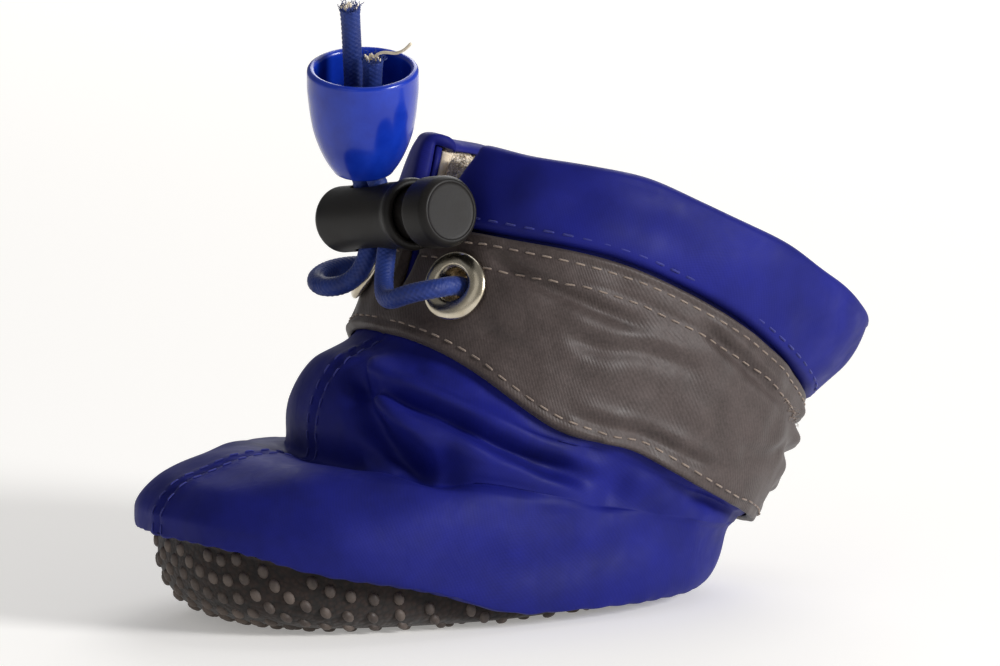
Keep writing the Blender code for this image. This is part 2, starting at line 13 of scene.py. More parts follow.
import bpy
import numpy as np
from mathutils import Matrix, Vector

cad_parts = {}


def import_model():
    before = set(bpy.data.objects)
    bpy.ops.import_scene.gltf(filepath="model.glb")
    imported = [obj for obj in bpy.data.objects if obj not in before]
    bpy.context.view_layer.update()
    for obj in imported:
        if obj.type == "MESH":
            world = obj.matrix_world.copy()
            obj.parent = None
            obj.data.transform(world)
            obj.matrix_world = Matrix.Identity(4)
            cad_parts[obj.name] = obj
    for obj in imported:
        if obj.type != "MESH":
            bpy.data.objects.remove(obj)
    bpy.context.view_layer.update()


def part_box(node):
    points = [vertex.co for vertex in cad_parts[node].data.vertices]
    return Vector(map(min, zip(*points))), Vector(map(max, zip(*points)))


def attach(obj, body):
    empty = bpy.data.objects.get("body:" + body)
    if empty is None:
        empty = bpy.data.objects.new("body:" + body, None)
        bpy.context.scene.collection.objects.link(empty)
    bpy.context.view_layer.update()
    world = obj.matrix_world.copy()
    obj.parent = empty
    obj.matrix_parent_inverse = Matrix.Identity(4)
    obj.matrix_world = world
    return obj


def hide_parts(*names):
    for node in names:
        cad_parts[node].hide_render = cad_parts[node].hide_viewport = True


Array = np.ndarray
LOG = logging.getLogger("dog_shoe")
MM = 0.001

# Sizes shared with the solids
FOOT_LENGTH = 0.0800
BALL_WIDTH = 0.0490
COLLAR_HEIGHT = 0.0620
GAP = 0.0003
UPPER_WALL = 0.0026
SOLE_THICKNESS = 0.0015
INSOLE_THICKNESS = 0.0035
BAND_THICKNESS = 0.0012
CUFF_THICKNESS = 0.0014
CUFF_ROLL = 0.0014
TONGUE_THICKNESS = 0.0018
TONGUE_HALF_WIDTH = 0.0090
SLIT_HALF_WIDTH = 0.0062
CORD_DIAMETER = 0.0026
EYELET_DIAMETER = 0.0090
EYELET_SIDE = 0.0110
EYELET_CLEARANCE = 0.0007
EYELET_WALL = 0.0006
LOCK_DIAMETER = 0.0096
LOCK_LENGTH = 0.0250
LOCK_BORE = 0.0074
LOCK_END_WALL = 0.0009
BARREL_SHARE = 0.69
PLUNGER_TRAVEL = 0.0025
PLUNGER_STEM = 0.0068
CORD_SPACING = 0.0031
CORD_CLEARANCE = 0.00035
BELL_DIAMETER = 0.0147
BELL_HEIGHT = 0.0146
BELL_NECK = 0.0080
BELL_WALL = 0.0011

# The rings of the upper: nose and heel ends of each tilted ring in foot lengths and collar heights,
# half width in ball widths, the powers of its outline, and how it drapes to the seam.
RING_COLUMNS = ("nose_x", "nose_z", "heel_x", "heel_z", "half", "nose_power", "heel_power",
                "widest", "drape", "shoulder", "bow")
RINGS = (
    ("feather", -0.485, 0.194, 0.375, 0.032, 0.418, 2.3, 2.4, 0.44, 1.00, 0.000, 0.000),
    ("bulge", -0.510, 0.219, 0.475, 0.065, 0.496, 2.3, 2.4, 0.45, 0.85, 0.000, 0.000),
    ("wall", -0.510, 0.268, 0.512, 0.103, 0.510, 2.25, 2.4, 0.46, 0.38, 0.000, 0.000),
    ("crown", -0.465, 0.321, 0.525, 0.123, 0.502, 2.2, 2.4, 0.46, 0.05, 0.000, 0.000),
    ("top", -0.350, 0.358, 0.530, 0.132, 0.490, 2.2, 2.4, 0.47, 0.00, 0.000, 0.010),
    ("crease", -0.232, 0.348, 0.535, 0.139, 0.476, 2.3, 2.4, 0.48, 0.00, 0.000, 0.010),
    ("ankle", -0.215, 0.452, 0.540, 0.143, 0.473, 2.4, 2.4, 0.48, 0.00, 0.000, 0.005),
    ("corner", -0.175, 0.539, 0.544, 0.147, 0.469, 2.4, 2.4, 0.48, 0.00, -0.019, 0.000),
    ("band_low", -0.092, 0.590, 0.552, 0.150, 0.476, 2.5, 2.4, 0.48, 0.00, -0.048, -0.020),
    ("band_mid", -0.038, 0.710, 0.625, 0.268, 0.490, 2.5, 2.3, 0.48, 0.00, -0.019, 0.039),
    ("band_top", -0.002, 0.823, 0.660, 0.387, 0.469, 2.5, 2.3, 0.48, 0.00, 0.006, 0.079),
    ("cuff_mid", 0.028, 0.903, 0.741, 0.477, 0.473, 2.5, 2.3, 0.48, 0.00, 0.010, 0.068),
    ("rim", 0.052, 0.977, 0.779, 0.542, 0.469, 2.5, 2.3, 0.48, 0.00, 0.013, 0.058),
)
RIM = float(len(RINGS) - 1)
SEAM_X = (-0.512, -0.462, -0.400, -0.350, -0.275, -0.200, -0.125, -0.062, -0.012, 0.625)
SEAM_Z = (0.203, 0.194, 0.168, 0.147, 0.132, 0.113, 0.084, 0.055, 0.034, 0.034)
# Metres of cloth for a radian round the shaft, in the UV map.
UV_PER_RADIAN = 0.034
# The way round the shoe along the sole seam, which spaces its puckers.
SEAM_GIRTH = 0.205
SLIT_BASE = 8.4
EYELET_RING = 9.05
LOCK_RING = 10.2
BAND_LOW = 8.04
BAND_TOP = 10.0
# The band's stitch lines: two below its top edge, where it is folded, and one above its low edge.
HEM_STITCHES = (0.0015, 0.0045)
LOW_STITCHES = 0.0015
CUFF_LOW = 10.07
SOLE_PROFILE = ((0.0, 0.0), (0.33, 0.0), (0.66, 0.0), (0.76, 0.02), (0.85, 0.09), (0.925, 0.23),
                (0.972, 0.45), (0.995, 0.72), (1.0, 1.0))

# The points that pull each cord's curve, in the frame of the fitting that it passes.
NEAR_ROUTE = (
    ("eyelet", -0.00110, 0.00000, 0.00000), ("eyelet", 0.00162, 0.00050, 0.00021),
    ("eyelet", 0.00527, 0.00026, -0.00154), ("eyelet", 0.00730, -0.00263, -0.00354),
    ("lock", -0.00415, -0.01128, 0.00643), ("lock", -0.00167, -0.00968, 0.00211),
    ("lock", 0.00041, -0.00271, 0.00180), ("lock", 0.00012, -0.00196, 0.00254),
    ("lock", 0.00015, 0.00431, 0.00140), ("bell", -0.00015, 0.00051, 0.00135),
    ("bell", 0.00000, 0.00700, 0.00153), ("bell", 0.00000, 0.01200, 0.00190),
    ("bell", -0.00003, 0.01629, 0.00211),
)
FAR_ROUTE = (
    ("eyelet", -0.00110, 0.00000, 0.00000), ("eyelet", 0.00166, -0.00044, 0.00018),
    ("eyelet", 0.00673, -0.00049, -0.00240), ("eyelet", 0.00878, 0.00359, -0.00522),
    ("lock", -0.00361, -0.00915, -0.00724), ("lock", -0.00076, -0.00813, -0.00304),
    ("lock", 0.00044, -0.00110, -0.00097), ("lock", 0.00005, 0.00238, -0.00237),
    ("lock", -0.00017, 0.00509, -0.00193), ("bell", 0.00029, 0.00037, -0.00184),
    ("bell", 0.00014, 0.00850, -0.00184), ("bell", 0.00008, 0.01550, -0.00220),
    ("bell", 0.00000, 0.02210, -0.00249),
)


class Body(Enum):
    """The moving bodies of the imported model."""

    SHOE = "shoe"
    PLUNGER = "plunger"


class Side(Enum):
    """The two sides of the collar's slit."""

    NEAR = 1
    FAR = -1


# Numbers and shapes


def unit(vector: Array) -> Array:
    """Vectors of length one along the last axis."""
    return vector / np.maximum(np.linalg.norm(vector, axis=-1, keepdims=True), 1e-12)


def signed_power(value: Array, power: Array) -> Array:
    """A power that keeps the sign."""
    return np.sign(value) * np.abs(value) ** power


def ease(value: Array) -> Array:
    """A smooth step: 3v^2 - 2v^3 of the value held between nothing and one."""
    v = np.clip(value, 0.0, 1.0)
    return v * v * (3.0 - 2.0 * v)


def bell_curve(distance: Array, width: float) -> Array:
    """A soft bump of height one: exp(-(distance/width)^2)."""
    return np.exp(-(distance / width) ** 2)


def edge_round(distance: Array, radius: float) -> Array:
    """The height of a rounded edge: a quarter circle over a radius from the edge, then level."""
    near = 1.0 - np.clip(distance / radius, 0.0, 1.0)
    return np.sqrt(np.maximum(1.0 - near * near, 0.0))


def way_along(points: Array) -> Array:
    """Lengths from the first row of points to each row, measured along every column."""
    steps = np.linalg.norm(np.diff(points, axis=0), axis=-1)
    return np.concatenate([np.zeros_like(steps[:1]), np.cumsum(steps, axis=0)])


def steady_rows(table: Array, t: Array) -> Array:
    """Rows of a table at position t, by cubics that never pass beyond their neighbouring rows.

    Args:
        table: Rows of values.
        t: Positions, as row numbers.

    Returns:
        The rows at those positions.
    """
    steps = np.diff(table, axis=0)
    before, after = steps[:-1], steps[1:]
    total = np.where(before + after == 0, 1.0, before + after)
    slope = np.where(before * after > 0, 2 * before * after / total, 0.0)
    slope = np.concatenate([steps[:1], slope, steps[-1:]])
    k = np.clip(np.floor(t).astype(int), 0, len(table) - 2)
    f = (t - k)[..., None]
    rise = table[k + 1] - table[k]
    square = 3 * rise - 2 * slope[k] - slope[k + 1]
    cube = slope[k] + slope[k + 1] - 2 * rise
    return table[k] + slope[k] * f + square * f ** 2 + cube * f ** 3


def pulled_path(points: Array, spacing: float) -> Array:
    """Points at an even spacing on a uniform cubic B-spline, from the first point to the last.

    Args:
        points: The points that pull the curve.
        spacing: The distance between the points that come out.

    Returns:
        The points of the path.
    """
    table = np.concatenate([2 * points[:1] - points[1:2], points, 2 * points[-1:] - points[-2:-1]])
    t = np.linspace(0, len(points) - 1, 600)
    k = np.minimum(t.astype(int), len(points) - 2)
    f = (t - k)[:, None]
    dense = ((1 - f) ** 3 * table[k] + (3 * f ** 3 - 6 * f ** 2 + 4) * table[k + 1]
             + (-3 * f ** 3 + 3 * f ** 2 + 3 * f + 1) * table[k + 2] + f ** 3 * table[k + 3]) / 6
    return even_path(dense, spacing)


def even_path(line: Array, spacing: float) -> Array:
    """A line's points again at an even spacing."""
    run = way_along(line)
    even = np.linspace(0, run[-1], max(int(round(run[-1] / spacing)), 2) + 1)
    return np.stack([np.interp(even, run, line[:, k]) for k in range(line.shape[1])], -1)


def swirl(points: Array, wave: float, seed: int, count: int = 14) -> Array:
    """Smooth noise: a sum of sines of one wavelength along directions drawn from a fixed seed.

    Args:
        points: Where the noise is read.
        wave: The wavelength in metres.
        seed: The seed of the directions and phases.
        count: How many sines are added.

    Returns:
        Values with a spread of about one.
    """
    rng = np.random.default_rng(seed)
    way = unit(rng.normal(size=(count, 3))) * (2 * pi / wave) * rng.uniform(0.7, 1.3, (count, 1))
    phase = rng.uniform(0, 2 * pi, count)
    return np.sin(points @ way.T + phase).sum(-1) / np.sqrt(count / 2)


def frames_along(path: Array) -> tuple[Array, Array]:
    """Two crosswise directions along a path that don't twist.

    The first is the axis least along the path, made square to its tangent.
    """
    tangent = unit(np.gradient(path, axis=0))
    spread = np.abs(tangent).mean(axis=0)
    fixed = np.eye(3)[int(np.argmin(spread))]
    first = unit(fixed - tangent * (tangent @ fixed)[:, None])
    return first, np.cross(tangent, first)


class Skin:
    """A mesh put together from grids of points, with one UV map in metres."""

    def __init__(self, name: str) -> None:
        """Start an empty skin."""
        self.name = name
        self.points: list[Array] = []
        self.spots: list[Array] = []
        self.faces: list[Array] = []
        self.looks: list[Array] = []
        self.total = 0

    def lay(self, points: Array, spots: Array | None = None, wrap: int = 0, loop: bool = False,
            start_pole: bool = False, end_pole: bool = False, flip: bool = False,
            hole: Array | None = None) -> tuple[Array, Array]:
        """Lay a grid of points, rows by columns.

        Args:
            points: The grid, of shape (rows, columns, 3).
            spots: UV places in metres, of shape (rows, columns, 2).
            wrap: How many of the first rows end where they start.
            loop: Whether the last row is the first one again.
            start_pole: Whether the first row is one point.
            end_pole: Whether the last row is one point.
            flip: Whether the faces look the other way.
            hole: Cells that are left out, of shape (rows - 1, columns - 1).

        Returns:
            The grid's point numbers, joined and plain.
        """
        rows, columns = points.shape[:2]
        plain = np.arange(rows * columns).reshape(rows, columns) + self.total
        joined = plain.copy()
        if wrap:
            joined[:wrap, -1] = joined[:wrap, 0]
        if loop:
            joined[-1] = joined[0]
        if start_pole:
            joined[0] = joined[0, 0]
        if end_pole:
            joined[-1] = joined[-1, 0]
        self.points.append(points.reshape(-1, 3))
        self.spots.append(np.zeros((rows * columns, 2)) if spots is None else spots.reshape(-1, 2))
        self.total += rows * columns
        keep = np.ones((rows - 1, columns - 1), bool) if hole is None else ~hole
        for grid, bag in ((joined, self.faces), (plain, self.looks)):
            quads = np.stack([grid[:-1, :-1], grid[:-1, 1:], grid[1:, 1:], grid[1:, :-1]], -1)[keep]
            bag.append(quads[:, ::-1] if flip else quads)
        return joined, plain

    def bridge(self, first: tuple[Array, Array], second: tuple[Array, Array]) -> None:
        """Join two lines of points, each given as its joined and plain numbers, by quads."""
        for a, b, bag in ((first[0], second[0], self.faces), (first[1], second[1], self.looks)):
            bag.append(np.stack([a[:-1], a[1:], b[1:], b[:-1]], -1))

    def shell(self, outer: Array, inner: Array, spots: Array, wrap: int,
              hole: Array | None = None) -> None:
        """Lay the closed solid between two grids, with walls round its rims and its holes.

        Args:
            outer: The outer grid, whose columns run round the shoe and whose rows run up it.
            inner: The inner grid of the same shape.
            spots: UV places of both grids.
            wrap: How many of the first rows end where they start.
            hole: Cells that are cut out.
        """
        o = self.lay(outer, spots, wrap, hole=hole)
        i = self.lay(inner, spots, wrap, flip=True, hole=hole)
        self.bridge((i[0][0], i[1][0]), (o[0][0], o[1][0]))
        self.bridge((o[0][-1], o[1][-1]), (i[0][-1], i[1][-1]))
        if wrap < outer.shape[0]:
            edge = slice(max(wrap - 1, 0), None)
            self.bridge((o[0][edge, 0], o[1][edge, 0]), (i[0][edge, 0], i[1][edge, 0]))
            self.bridge((i[0][edge, -1], i[1][edge, -1]), (o[0][edge, -1], o[1][edge, -1]))
        if hole is not None:
            self.hole_walls(o, i, hole)

    def hole_walls(self, outer: tuple[Array, Array], inner: tuple[Array, Array], hole: Array) -> None:
        """Close the sides of cut out cells between the outer and the inner grid."""
        padded = np.pad(hole, 1)
        core = padded[1:-1, 1:-1]
        below, above = core & ~padded[:-2, 1:-1], core & ~padded[2:, 1:-1]
        left, right = core & ~padded[1:-1, :-2], core & ~padded[1:-1, 2:]
        for o, i, bag in ((outer[0], inner[0], self.faces), (outer[1], inner[1], self.looks)):
            for mask, a, b, turn in ((below, (0, 0), (0, 1), False), (above, (1, 0), (1, 1), True),
                                     (left, (0, 0), (1, 0), True), (right, (0, 1), (1, 1), False)):
                k, j = np.nonzero(mask)
                quads = np.stack([o[k + a[0], j + a[1]], o[k + b[0], j + b[1]],
                                  i[k + b[0], j + b[1]], i[k + a[0], j + a[1]]], -1)
                bag.append(quads[:, ::-1] if turn else quads)

    def build(self, finish: "Finish", sharp: float | None = None) -> bpy.types.Object:
        """Make the object, with unused points dropped and pinched quads made triangles.

        Args:
            finish: The finish that it is dressed in.
            sharp: The angle in degrees past which an edge stays sharp, if any.

        Returns:
            The new object.
        """
        points = np.concatenate(self.points)
        spots = np.concatenate(self.spots)
        faces, looks = np.concatenate(self.faces), np.concatenate(self.looks)
        keep = faces != np.roll(faces, -1, axis=1)
        sound = keep.sum(1) >= 3
        faces, looks, keep = faces[sound], looks[sound], keep[sound]
        used, renumbered = np.unique(faces, return_inverse=True)
        renumbered = renumbered.reshape(faces.shape)
        sizes = keep.sum(1)
        starts = np.concatenate([[0], np.cumsum(sizes)[:-1]])
        mesh = bpy.data.meshes.new(self.name)
        mesh.vertices.add(len(used))
        mesh.vertices.foreach_set("co", points[used].astype(np.float32).ravel())
        mesh.loops.add(int(sizes.sum()))
        mesh.loops.foreach_set("vertex_index", renumbered[keep].astype(np.int32))
        mesh.polygons.add(len(faces))
        mesh.polygons.foreach_set("loop_start", starts.astype(np.int32))
        mesh.polygons.foreach_set("use_smooth", np.ones(len(faces), bool))
        mesh.update(calc_edges=True)
        layer = mesh.uv_layers.new(name="cloth")
        layer.data.foreach_set("uv", spots[looks[keep]].astype(np.float32).ravel())
        mesh.validate()
        if sharp is not None:
            mesh.set_sharp_from_angle(angle=radians(sharp))
        mesh.materials.append(finish.material())
        obj = bpy.data.objects.new(self.name, mesh)
        bpy.context.scene.collection.objects.link(obj)
        return obj


def tube(skin: Skin, path: Array, radius: Array, sides: int) -> None:
    """Lay a round tube along a path: path + radius * (cos v * first + sin v * second).

    Its ends are drawn together to a point.

    Args:
        skin: The skin that takes it.
        path: Points of shape (points, 3).
        radius: The radius at each point, or at each point and side.
        sides: How many sides the tube has.
    """
    first, second = frames_along(path)
    v = np.linspace(0, 2 * pi, sides + 1)
    radius = np.asarray(radius, float)
    radius = radius[:, None] * np.ones((1, sides + 1)) if radius.ndim == 1 else radius
    ring = first[:, None] * np.cos(v)[None, :, None] + second[:, None] * np.sin(v)[None, :, None]
    grid = path[:, None] + ring * radius[..., None]
    run = way_along(path)
    spots = np.stack(np.broadcast_arrays(v[None, :] / (2 * pi) * CORD_DIAMETER * pi, run[:, None]), -1)
    start, end = (np.broadcast_to(path[k], (1, sides + 1, 3)) for k in (0, -1))
    grid = np.concatenate([start, grid, end])
    spots = np.concatenate([spots[:1], spots, spots[-1:]])
    skin.lay(grid, spots, wrap=len(grid), start_pole=True, end_pole=True)


def lathe(skin: Skin, profile: Array, place: Callable[[Array, Array, Array], Array], count: int,
          loop: bool) -> None:
    """Lay a turned surface: each (long, wide, height) of the profile becomes an oval ring.

    Args:
        skin: The skin that takes it.
        profile: Rows of two radii and a height, going up the outside.
        place: Turns sideways, forward and height arrays into points.
        count: How many segments go round.
        loop: Whether the profile closes on itself. If not, it starts and ends on the axis.
    """
    v = np.linspace(0, 2 * pi, count + 1)
    rows = np.concatenate([profile, profile[:1]]) if loop else profile
    grid = place(rows[:, :1] * np.cos(v)[None], rows[:, 1:2] * np.sin(v)[None],
                 rows[:, 2:3] * np.ones((1, count + 1)))
    run = way_along(rows)
    spots = np.stack(np.broadcast_arrays(v[None, :] * rows[:, 0].max(), run[:, None]), -1)
    skin.lay(grid, spots, wrap=len(rows), loop=loop, start_pole=not loop, end_pole=not loop)


def rounded_profile(corners: Sequence[tuple[float, float]], radius: float, steps: int = 4) -> Array:
    """A profile of (radius, radius, height) rows with each inner corner replaced by a small arc.

    Args:
        corners: Corners of the profile as (radius, height).
        radius: How far from a corner its arc starts.
        steps: Points on each arc.

    Returns:
        The rows. Each arc is a quadratic curve pulled towards its corner.
    """
    points = np.array(corners, float)
    rows = [points[:1]]
    for k in range(1, len(points) - 1):
        before, corner, after = points[k - 1:k + 2]
        reach_in = min(radius, 0.45 * np.linalg.norm(corner - before))
        reach_out = min(radius, 0.45 * np.linalg.norm(after - corner))
        start = corner - unit(corner - before) * reach_in
        end = corner + unit(after - corner) * reach_out
        f = np.linspace(0, 1, steps)[:, None]
        rows.append((1 - f) ** 2 * start + 2 * f * (1 - f) * corner + f ** 2 * end)
    rows.append(points[-1:])
    rows = np.concatenate(rows)
    return np.stack([rows[:, 0], rows[:, 0], rows[:, 1]], -1)


# Finishes


def to_linear(colour: str) -> tuple[float, float, float, float]:
    """Turn an sRGB hex colour into linear light."""
    parts = [int(colour.lstrip("#")[k:k + 2], 16) / 255 for k in (0, 2, 4)]
    linear = [p / 12.92 if p <= 0.04045 else ((p + 0.055) / 1.055) ** 2.4 for p in parts]
    return linear[0], linear[1], linear[2], 1.0


def set_inputs(node: bpy.types.Node, inputs: dict) -> None:
    """Link or set a node's inputs, given by name or number."""
    for key, value in inputs.items():
        if isinstance(value, bpy.types.NodeSocket):
            node.id_data.links.new(value, node.inputs[key])
        else:
            node.inputs[key].default_value = value


def add(tree: bpy.types.NodeTree, kind: str, inputs: dict | None = None,
        ramp: tuple[str, str] | None = None, **settings) -> bpy.types.Node:
    """Add a node.

    Args:
        tree: The material's node tree.
        kind: The node's type.
        inputs: Values or sockets by the names or numbers of the inputs they go to.
        ramp: The first and last colour of a colour ramp.
        settings: The node's own properties.

    Returns:
        The new node.
    """
    node = tree.nodes.new(kind)
    for name, value in settings.items():
        setattr(node, name, value)
    for stop, colour in zip(node.color_ramp.elements if ramp else (), ramp or ()):
        stop.color = to_linear(colour)
    set_inputs(node, inputs or {})
    return node


@dataclass(frozen=True)
class Finish:
    """A finish. The kinds below say what the material is and how it was made."""

    name: str

    def material(self) -> bpy.types.Material:
        """The material of this finish, made once."""
        found = bpy.data.materials.get("finish_" + self.name)
        if found is None:
            found = bpy.data.materials.new("finish_" + self.name)
            found.use_nodes = True
            place = add(found.node_tree, "ShaderNodeTexCoord").outputs["Object"]
            self.dress(found.node_tree, found.node_tree.nodes["Principled BSDF"], place)
        return found

    def dress(self, tree: bpy.types.NodeTree, shader: bpy.types.Node,
              place: bpy.types.NodeSocket) -> None:
        """Set the shader up, with patterns read at a place on the object."""
        raise NotImplementedError


@dataclass(frozen=True)
class WovenNylon(Finish):
    """Nylon taffeta: a tight plain weave, dyed and pressed, so it is satin with a soft edge sheen.

    The real threads lie 0.15 mm apart, too fine for the render, and are drawn at thread.
    """

    colour: str = "#191e78"
    deep: str = "#13175c"
    thread: float = 0.00026
    crinkle: float = 0.35

    def dress(self, tree: bpy.types.NodeTree, shader: bpy.types.Node,
              place: bpy.types.NodeSocket) -> None:
        """Weave, faint crinkles and a slight mottle of the dye."""
        cloth = add(tree, "ShaderNodeUVMap", uv_map="cloth")
        parts = add(tree, "ShaderNodeSeparateXYZ", {0: cloth.outputs[0]})
        waves = []
        for way in ("X", "Y"):
            phase = add(tree, "ShaderNodeMath", {0: parts.outputs[way], 1: pi / self.thread},
                        operation="MULTIPLY")
            waves.append(add(tree, "ShaderNodeMath", {0: phase.outputs[0]}, operation="SINE"))
        weave = add(tree, "ShaderNodeMath", {0: waves[0].outputs[0], 1: waves[1].outputs[0]},
                    operation="MULTIPLY")
        mottle = add(tree, "ShaderNodeTexNoise", {"Vector": place, "Scale": 90.0, "Detail": 4.0,
                                                  "Roughness": 0.6})
        crinkle = add(tree, "ShaderNodeTexNoise", {"Vector": place, "Scale": 260.0, "Detail": 3.0,
                                                   "Roughness": 0.55, "Distortion": 0.6})
        blend = add(tree, "ShaderNodeMapRange", {"Value": mottle.outputs["Fac"], "From Min": 0.30,
                                                 "From Max": 0.70})
        threads = add(tree, "ShaderNodeMapRange", {"Value": weave.outputs[0], "From Min": -1.0,
                                                   "From Max": 1.0, "To Min": -0.14, "To Max": 0.14})
        share = add(tree, "ShaderNodeMath", {0: blend.outputs[0], 1: threads.outputs[0]},
                    operation="ADD", use_clamp=True)
        colour = add(tree, "ShaderNodeValToRGB", {0: share.outputs[0]}, (self.deep, self.colour))
        rough = add(tree, "ShaderNodeMapRange", {"Value": crinkle.outputs["Fac"], "From Min": 0.3,
                                                 "From Max": 0.7, "To Min": 0.50, "To Max": 0.64})
        first = add(tree, "ShaderNodeBump", {"Height": crinkle.outputs["Fac"],
                                             "Strength": self.crinkle, "Distance": 0.00022})
        second = add(tree, "ShaderNodeBump", {"Height": weave.outputs[0], "Strength": 0.10,
                                              "Distance": 0.00003, "Normal": first.outputs[0]})
        set_inputs(shader, {"Base Color": colour.outputs[0], "Roughness": rough.outputs[0],
                            "Normal": second.outputs[0], "Sheen Weight": 0.03,
                            "Sheen Roughness": 0.4, "Sheen Tint": to_linear("#5058e0"),
                            "Specular IOR Level": 0.14})


@dataclass(frozen=True)
class ReflectiveCloth(Finish):
    """Retroreflective tape cloth: glass beads on woven polyester, dull grey-brown with a fine grain.

    The beads are 0.05 mm, too fine for the render, and are drawn as a grain of 0.3 mm.
    """

    colour: str = "#4f4543"
    deep: str = "#3a3230"

    def dress(self, tree: bpy.types.NodeTree, shader: bpy.types.Node,
              place: bpy.types.NodeSocket) -> None:
        """Grain, faint twill lines and rubbed streaks."""
        cloth = add(tree, "ShaderNodeUVMap", uv_map="cloth")
        grain = add(tree, "ShaderNodeTexNoise", {"Vector": place, "Scale": 2600.0, "Detail": 2.0,
                                                 "Roughness": 0.7})
        rubbed = add(tree, "ShaderNodeTexNoise", {"Vector": place, "Scale": 150.0, "Detail": 5.0,
                                                  "Roughness": 0.65, "Distortion": 1.2})
        twill = add(tree, "ShaderNodeTexWave", {"Vector": cloth.outputs[0], "Scale": 900.0,
                                                "Distortion": 0.4}, bands_direction="DIAGONAL")
        both = add(tree, "ShaderNodeMath", {0: grain.outputs["Fac"], 1: rubbed.outputs["Fac"]},
                   operation="ADD")
        share = add(tree, "ShaderNodeMapRange", {"Value": both.outputs[0], "From Min": 0.7,
                                                 "From Max": 1.3})
        colour = add(tree, "ShaderNodeValToRGB", {0: share.outputs[0]}, (self.deep, self.colour))
        rough = add(tree, "ShaderNodeMapRange", {"Value": rubbed.outputs["Fac"], "From Min": 0.3,
                                                 "From Max": 0.7, "To Min": 0.42, "To Max": 0.60})
        first = add(tree, "ShaderNodeBump", {"Height": rubbed.outputs["Fac"], "Strength": 0.35,
                                             "Distance": 0.00018})
        second = add(tree, "ShaderNodeBump", {"Height": twill.outputs["Fac"], "Strength": 0.25,
                                              "Distance": 0.00006, "Normal": first.outputs[0]})
        third = add(tree, "ShaderNodeBump", {"Height": grain.outputs["Fac"], "Strength": 0.35,
                                             "Distance": 0.00005, "Normal": second.outputs[0]})
        set_inputs(shader, {"Base Color": colour.outputs[0], "Roughness": rough.outputs[0],
                            "Normal": third.outputs[0], "Metallic": 0.05, "Sheen Weight": 0.04,
                            "Specular IOR Level": 0.28})


@dataclass(frozen=True)
class SherpaFleece(Finish):
    """Sherpa fleece: knitted polyester brushed into curls, matt and soft, with painted shade between the
    tufts.
    """

    colour: str = "#f3e7d3"
    # deep is partly a random mottle and partly painted shade in the hollows between the tufts.
    deep: str = "#d6be9a"

    def dress(self, tree: bpy.types.NodeTree, shader: bpy.types.Node,
              place: bpy.types.NodeSocket) -> None:
        """Mottled cream with a fuzzy bump, painted shade in the bump's hollows, and a strong sheen."""
        tuft = add(tree, "ShaderNodeTexNoise", {"Vector": place, "Scale": 420.0, "Detail": 5.0,
                                                "Roughness": 0.7, "Distortion": 1.5})
        patch = add(tree, "ShaderNodeTexNoise", {"Vector": place, "Scale": 110.0, "Detail": 2.0})
        both = add(tree, "ShaderNodeMath", {0: tuft.outputs["Fac"], 1: patch.outputs["Fac"]},
                   operation="ADD")
        share = add(tree, "ShaderNodeMapRange", {"Value": both.outputs[0], "From Min": 0.70,
                                                 "From Max": 1.12})
        # The tuft noise is also the bump's height, so the low places between tufts turn to the deep colour:
        # painted shade. The patch noise adds a random mottle.
        colour = add(tree, "ShaderNodeValToRGB", {0: share.outputs[0]}, (self.deep, self.colour))
        bump = add(tree, "ShaderNodeBump", {"Height": tuft.outputs["Fac"], "Strength": 0.6,
                                            "Distance": 0.0003})
        set_inputs(shader, {"Base Color": colour.outputs[0], "Normal": bump.outputs[0],
                            "Roughness": 0.95, "Sheen Weight": 0.5, "Sheen Roughness": 0.6,
                            "Specular IOR Level": 0.15})


@dataclass(frozen=True)
class SoleKnit(Finish):
    """Warp-knit polyester sole cloth: dark brown, matt, with loops that lie in fine ribs.

    The loops are 0.4 mm apart in fact and are drawn at 0.7 mm.
    """

    colour: str = "#291b15"
    deep: str = "#130d0a"

    def dress(self, tree: bpy.types.NodeTree, shader: bpy.types.Node,
              place: bpy.types.NodeSocket) -> None:
        """Ribs of loops and worn patches."""
        loops = add(tree, "ShaderNodeTexVoronoi", {"Vector": place, "Scale": 1400.0})
        worn = add(tree, "ShaderNodeTexNoise", {"Vector": place, "Scale": 200.0, "Detail": 4.0})
        share = add(tree, "ShaderNodeMath", {0: loops.outputs["Distance"], 1: worn.outputs["Fac"]},
                    operation="MULTIPLY")
        wide = add(tree, "ShaderNodeMapRange", {"Value": share.outputs[0], "From Min": 0.05,
                                                "From Max": 0.38})
        colour = add(tree, "ShaderNodeValToRGB", {0: wide.outputs[0]}, (self.colour, self.deep))
        bump = add(tree, "ShaderNodeBump", {"Height": loops.outputs["Distance"], "Strength": 0.6,
                                            "Distance": 0.00015}, invert=True)
        set_inputs(shader, {"Base Color": colour.outputs[0], "Normal": bump.outputs[0],
                            "Roughness": 0.9, "Sheen Weight": 0.2})


